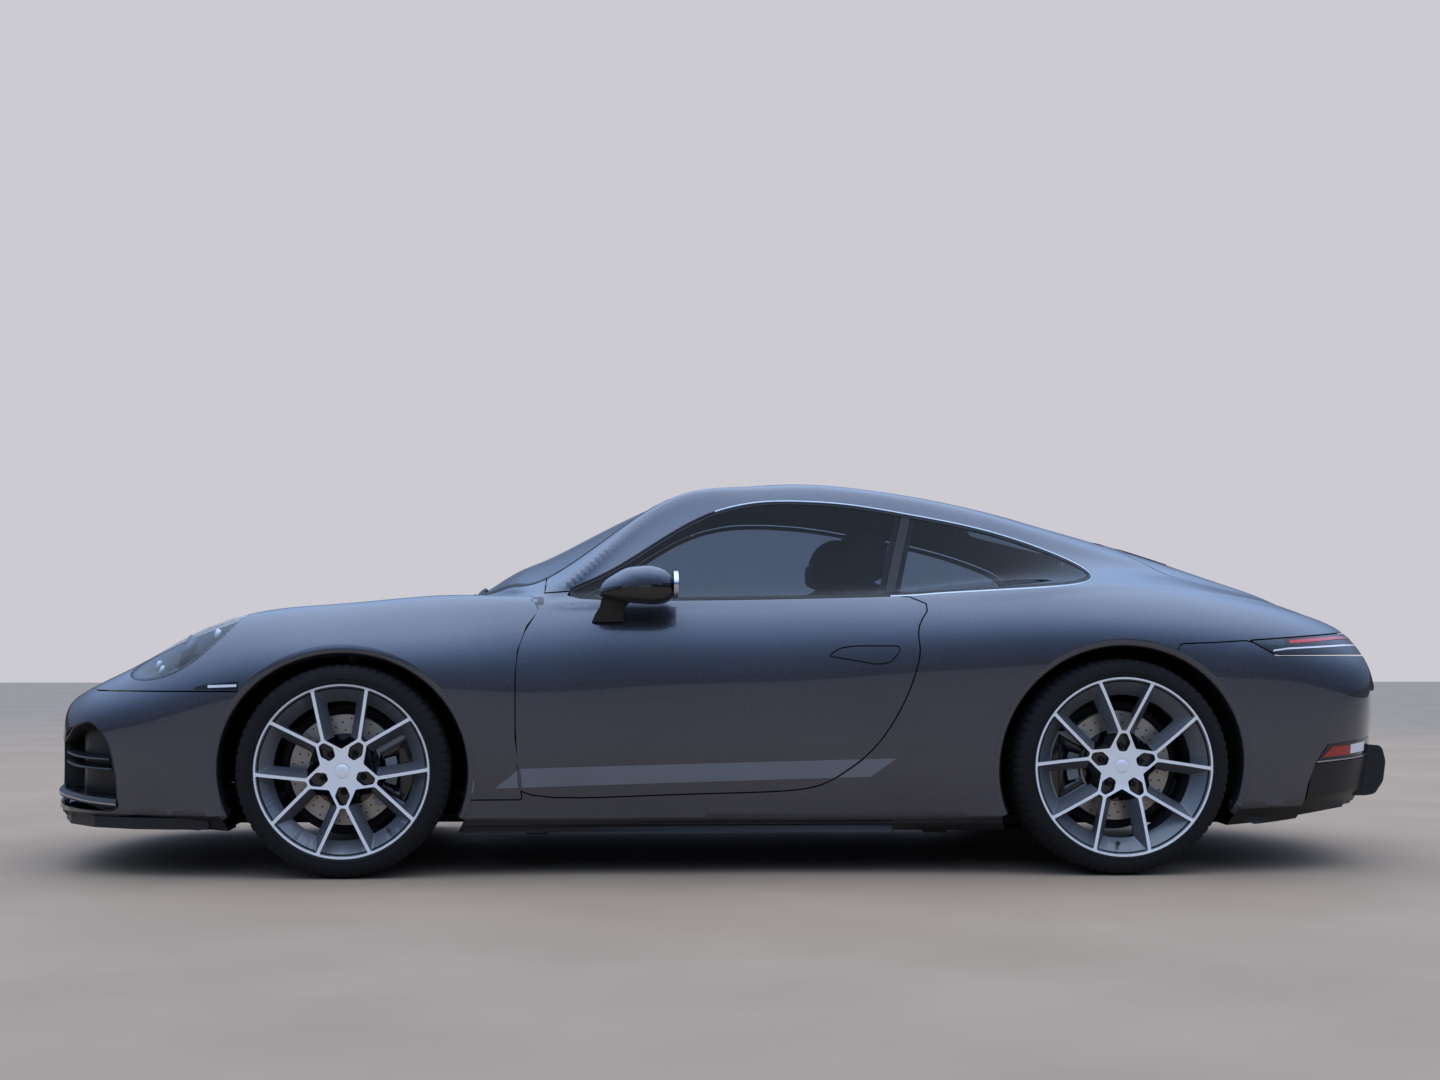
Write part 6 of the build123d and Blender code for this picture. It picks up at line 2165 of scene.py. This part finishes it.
# ---- the stage -------------------------------------------------------------------------
@dataclass
class Stage:
    """Pale floor and backdrop, soft lamps and the camera."""

    camera_at: tuple[float, float, float] = (-0.499, -6.760, 0.698)
    heading: float = 0.0438
    focal_px: float = 1877.9
    centre_px: tuple[float, float] = (663.6, 654.2)
    frame_px: tuple[int, int] = (1440, 1080)

    def build(self) -> None:
        """Makes the stage."""
        self._camera()
        self._floor()
        self._world()
        self._lamps()

    def _camera(self) -> None:
        """Adds the camera."""
        data = bpy.data.cameras.new("camera")
        data.sensor_width = 36.0
        data.lens = self.focal_px / self.frame_px[0] * 36.0
        data.shift_x = (self.frame_px[0] / 2 - self.centre_px[0]) / self.frame_px[0]
        data.shift_y = (self.centre_px[1] - self.frame_px[1] / 2) / self.frame_px[0]
        camera = bpy.data.objects.new("camera", data)
        camera.location = self.camera_at
        camera.rotation_euler = (math.pi / 2, 0, -self.heading)
        bpy.context.scene.collection.objects.link(camera)
        bpy.context.scene.camera = camera

    def _floor(self) -> None:
        """Adds the floor."""
        size = 40.0
        mesh = bpy.data.meshes.new("floor")
        mesh.from_pydata([(-size, -size, 0), (size, -size, 0), (size, size, 0), (-size, size, 0)], [],
                         [(0, 1, 2, 3)])
        floor = bpy.data.objects.new("floor", mesh)
        floor.location.z = 0.0
        bpy.context.scene.collection.objects.link(floor)
        material, shader = blank("sealed_concrete")
        place = add_node(material, "TexCoord").outputs["Object"]
        cloud = add_node(material, "TexNoise", Vector=place, Scale=1.3, Detail=6.0)
        feed(shader, Base_Color=blend(material, cloud.outputs["Fac"], linear("8c7b6a"), linear("a39280")),
             Roughness=0.7, Specular_IOR_Level=0.12)
        mesh.materials.append(material)

    def _world(self) -> None:
        """Adds a pale surrounding, brighter overhead."""
        world = bpy.data.worlds.new("surround")
        bpy.context.scene.world = world
        world.use_nodes = True
        world.node_tree.nodes.clear()
        place = add_node(world, "TexCoord").outputs["Generated"]
        height = add_node(world, "SeparateXYZ", _0=place).outputs[2]
        ramp = add_node(world, "ValToRGB", _0=height)
        stops = ramp.color_ramp.elements
        for stop, position, code in ((stops[0], 0.0, "2c2d31"), (stops[1], 1.0, "cfe2fd")):
            stop.position, stop.color = position, linear(code)
        for position, code in ((0.03, "33363d"), (0.045, "5f6b82"), (0.2, "6e7f9e"), (0.5, "9ab5de"),
                               (0.75, "b9cdee")):
            stops.new(position).color = linear(code)
        glow = add_node(world, "MapRange", _0=height, _1=0.0, _2=0.9, _3=0.8, _4=2.6)
        lit = add_node(world, "Background", _0=ramp.outputs[0], _1=glow.outputs[0])
        seen = add_node(world, "Background", _0=linear("cdcbd2"))
        direct = add_node(world, "LightPath").outputs["Is Camera Ray"]
        mix = add_node(world, "MixShader", _0=direct, _1=lit.outputs[0], _2=seen.outputs[0])
        add_node(world, "OutputWorld", _0=mix.outputs[0])

    def _lamps(self) -> None:
        """Adds soft area lamps."""
        for name, at, size, power, colour in (
                ("overhead", (0.5, 0.5, 9.0), (16.0, 9.0), 300, "ffe9cf"),
                ("far_side", (3.0, 9.0, 6.0), (10.0, 3.0), 160, "fff2e2")):
            data = bpy.data.lights.new(name, "AREA")
            data.shape, data.size, data.size_y = "RECTANGLE", *size
            data.energy, data.color = power, linear(colour)[:3]
            lamp = bpy.data.objects.new(name, data)
            lamp.location = at
            lamp.visible_glossy = False
            lamp.rotation_euler = (-Vector(at) + Vector((0, 0, 0.5))).to_track_quat("-Z", "Y").to_euler()
            bpy.context.scene.collection.objects.link(lamp)


@dataclass
class CadFinishes:
    """Materials for the carried-over solids, by node name."""

    finishes: Finishes

    def dress(self, nodes: dict[str, bpy.types.Object]) -> None:
        """Gives every solid its material."""
        f = self.finishes
        start = {
            "tyre": f.rubber, "rim": f.rim_grey, "disc": f.disc, "engine": f.cast, "exhaust": f.chrome,
            "floor": f.chassis, "bulkheads": f.chassis, "luggage": f.carpet, "wheel_liners": f.liner,
            "front_subframe": f.chassis, "rear_subframe": f.chassis, "front_struts": f.cast,
            "rear_struts": f.cast, "knuckle": f.cast, "rear_knuckles": f.cast, "dashboard": f.leather,
            "steering": f.leather, "front_seats": f.leather, "rear_bench": f.leather,
            "cowl": f.black, "front_grille": f.black, "front_splitter": f.black, "diffuser": f.black,
            "mirror": f.gloss_black, "headlamps": f.lens, "tail_lamp": f.reflector,
            "windscreen": f.screen, "door_glass": f.glass, "quarter": f.glass, "rear_window": f.glass}
        for name, node in nodes.items():
            best = max((k for k in start if name.startswith(k)), key=len, default="")
            f.wear(node, start.get(best, f.paint))


def split_sides(piece: bpy.types.Object, left_name: str, right_name: str
                ) -> tuple[bpy.types.Object, bpy.types.Object]:
    """Splits a piece at the middle plane into a left and a right one."""
    half = plate([(-3000, -100), (3000, -100), (3000, 2000), (-3000, 2000)], "y", 0, 1300)
    left, right = copied(piece, left_name), copied(piece, right_name)
    carve(left, [(Cut.REMOVE, half)])
    carve(right, [(Cut.KEEP, half)])
    discard(half, piece)
    return left, right


@dataclass
class Coupe:
    """The whole car, piece by piece."""

    nodes: dict[str, bpy.types.Object]
    finishes: Finishes = field(default_factory=Finishes)

    def place(self, piece: bpy.types.Object, body: str, *nodes: str) -> None:
        """Rides a piece on a body, stands it for CAD nodes and reports it."""
        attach(piece, body)
        if nodes:
            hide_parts(*nodes)
        LOG.info("%s on %s: %d faces", piece.name, body, len(piece.data.polygons))

    def on_doors(self, piece: bpy.types.Object, stem: str, node: str = "", skin: Skin | None = None,
                 depth: float = 0.0) -> None:
        """Splits a piece at the middle plane and places its halves on the doors.

        Args:
            piece: the piece.
            stem: what the halves' names start with.
            node: start of the names of the nodes they stand for, or "".
            skin: shades the halves as parts of the skin, where given.
            depth: the piece's depth under the form.
        """
        material = piece.data.materials[0]
        halves = [*zip(split_sides(piece, stem + "_left", stem + "_right"), ("left", "right"))]
        for half, side in halves[::-1] if node else halves:
            if skin:
                skin.dress(half, material, depth)
            else:
                half.data.set_sharp_from_angle(angle=math.radians(35))
            self.place(half, "door_" + side, *([node + side] if node else []))

    def build(self) -> None:
        """Builds every piece."""
        CadFinishes(self.finishes).dress(self.nodes)
        skin = Skin(BodyForm(), self.finishes)
        self.panels(skin)
        self.glass(skin)
        self.details(skin)
        self.cabin()
        self.wheels()
        skin.close()

    def panels(self, skin: Skin) -> None:
        """Painted panels."""
        out = BodyPanels(skin, self.finishes).build()
        self.on_doors(out.pop("door_skins"), "door_skin", "door_", skin, 0.0)
        stands = {"hood_skin": ("front_lid", "front_lid"), "front_bumper_skin": ("shell", "front_bumper"),
                  "front_wing_skins": ("shell", "front_wings"), "rear_lid_skin": ("rear_lid", "rear_lid"),
                  "body_skin": ("shell", "body_side_left", "body_side_right", "roof"),
                  "rear_bumper_skin": ("shell", "rear_bumper"), "hood_inner": ("front_lid",),
                  "rear_lid_inner": ("rear_lid",)}
        for name in ("door_handles", "handle_shade_wells", "door_cores"):
            self.on_doors(out.pop(name), name, "", skin, INNER_PANELS[name][1])
        for name, piece in out.items():
            self.place(piece, *stands.get(name, ("shell",)))

    def details(self, skin: Skin) -> None:
        """Lamps and trim."""
        lamps = Lamps(skin, self.finishes).build()
        stands = {"headlamp_lens": "headlamps", "tail_lens": "tail_lamp", "exhaust_tips": "exhaust",
                  "intake_wall": "front_grille"}
        trim = Trim(skin, self.finishes)
        extra = {**trim.stripes(), **trim.nose(), **trim.tail()}
        doors = ("door_left", "door_right")
        stripe = extra.pop("stripe_door")
        self.pair(flipped(stripe), ("stripe_door_left", "stripe_door_right"), doors)
        self.pair(flipped(trim.mirror()), ("door_mirror_left", "door_mirror_right"), doors,
                  ("mirror_left", "mirror_right"))
        self.place(trim.louvres, "rear_lid")
        self.place(trim.wipers, "shell")
        for name, piece in {**lamps, **extra}.items():
            self.place(piece, "shell", *([stands[name]] if name in stands else []))

    def glass(self, skin: Skin) -> None:
        """Panes, seals and trim."""
        out = Glazing(skin, self.finishes).build()
        self.on_doors(out.pop("door_pane"), "door_pane", "door_glass_", skin, Glazing.depth)
        self.on_doors(out.pop("belt_line_door"), "belt_line")
        stands = {"quarter_pane": ("shell", "quarter_windows"), "screen_pane": ("shell", "windscreen"),
                  "rear_pane": ("shell", "rear_window")}
        for name, piece in out.items():
            self.place(piece, *stands.get(name, ("shell",)))

    def cabin(self) -> None:
        """Seats and bench, padded."""
        for name, piece in Upholstery(self.finishes).build().items():
            nodes = {"seat_cushions": ("front_seats",), "bench_cushions": ("rear_bench",)}.get(name, ())
            self.place(piece, "shell", *nodes)

    def pair(self, left: bpy.types.Object, names: tuple[str, str], bodies: tuple[str, str],
             nodes: tuple[str, str] | None = None) -> None:
        """Places a left piece and its mirror image on the right.

        Args:
            left: the left piece.
            names: the left and right piece's names.
            bodies: the left and right bodies.
            nodes: the left and right nodes they stand in for.
        """
        left.name = names[0]
        right = mirrored(left, names[1])
        self.place(left, bodies[0], *(nodes[:1] if nodes else ()))
        self.place(right, bodies[1], *(nodes[1:] if nodes else ()))

    def wheels(self) -> None:
        """Wheels, tyres, brake discs and calipers."""
        for end, axle, hub, track, lip, width, tyre, tread, turn, dish, caliper in (
                ("front", FRONT_AXLE, FRONT_HUB, 1589.0, 272.0, 228.0, 334.0, 243.0, -37.5, 12.0, 1),
                ("rear", REAR_AXLE, REAR_HUB, 1557.0, 283.0, 284.0, 343.0, 290.0, 1.5, 24.0, -1)):
            words = ("left", "right")
            bodies = tuple(f"wheel_{end}_{w}" for w in words)

            def named(stem: str) -> tuple[str, str]:
                """A stem for the left and the right corner."""
                return tuple(f"{stem}_{end}_{w}" for w in words)

            wheel = AlloyWheel(self.finishes, "alloy", -1, axle, track, hub, lip, width, turn, dish)
            rim = wheel.build_rim()
            self.pair(rim, named("alloy"), bodies, named("rim"))
            rubber = Tyre(self.finishes, "tread", -1, axle, track, hub, tyre, tread, lip, width).build()
            self.pair(rubber, named("tread"), bodies, named("tyre"))
            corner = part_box(f"disc_{end}_left")
            face = max(abs(corner[0].y), abs(corner[1].y)) / MM - 52
            disc = Brake(self.finishes, "brake", -1, axle, hub, face).build()
            self.pair(disc, named("brake_disc"), bodies, named("disc"))
            carrier = tuple(f"knuckle_front_{w}" for w in words) if end == "front" else ("shell", "shell")
            saddle = Caliper(self.finishes, -1, axle, hub, face, caliper)
            self.pair(saddle.build("caliper"), named("caliper"), carrier)
            self.pair(saddle.shield("shield"), named("dust_shield"), carrier)


def main() -> None:
    """Builds the car on its frame."""
    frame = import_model()
    bpy.context.scene.view_settings.view_transform = "Standard"
    Coupe(frame["nodes"]).build()
    Stage().build()


if __name__ == "__main__":
    logging.basicConfig(level=logging.INFO, format="%(message)s")
    main()
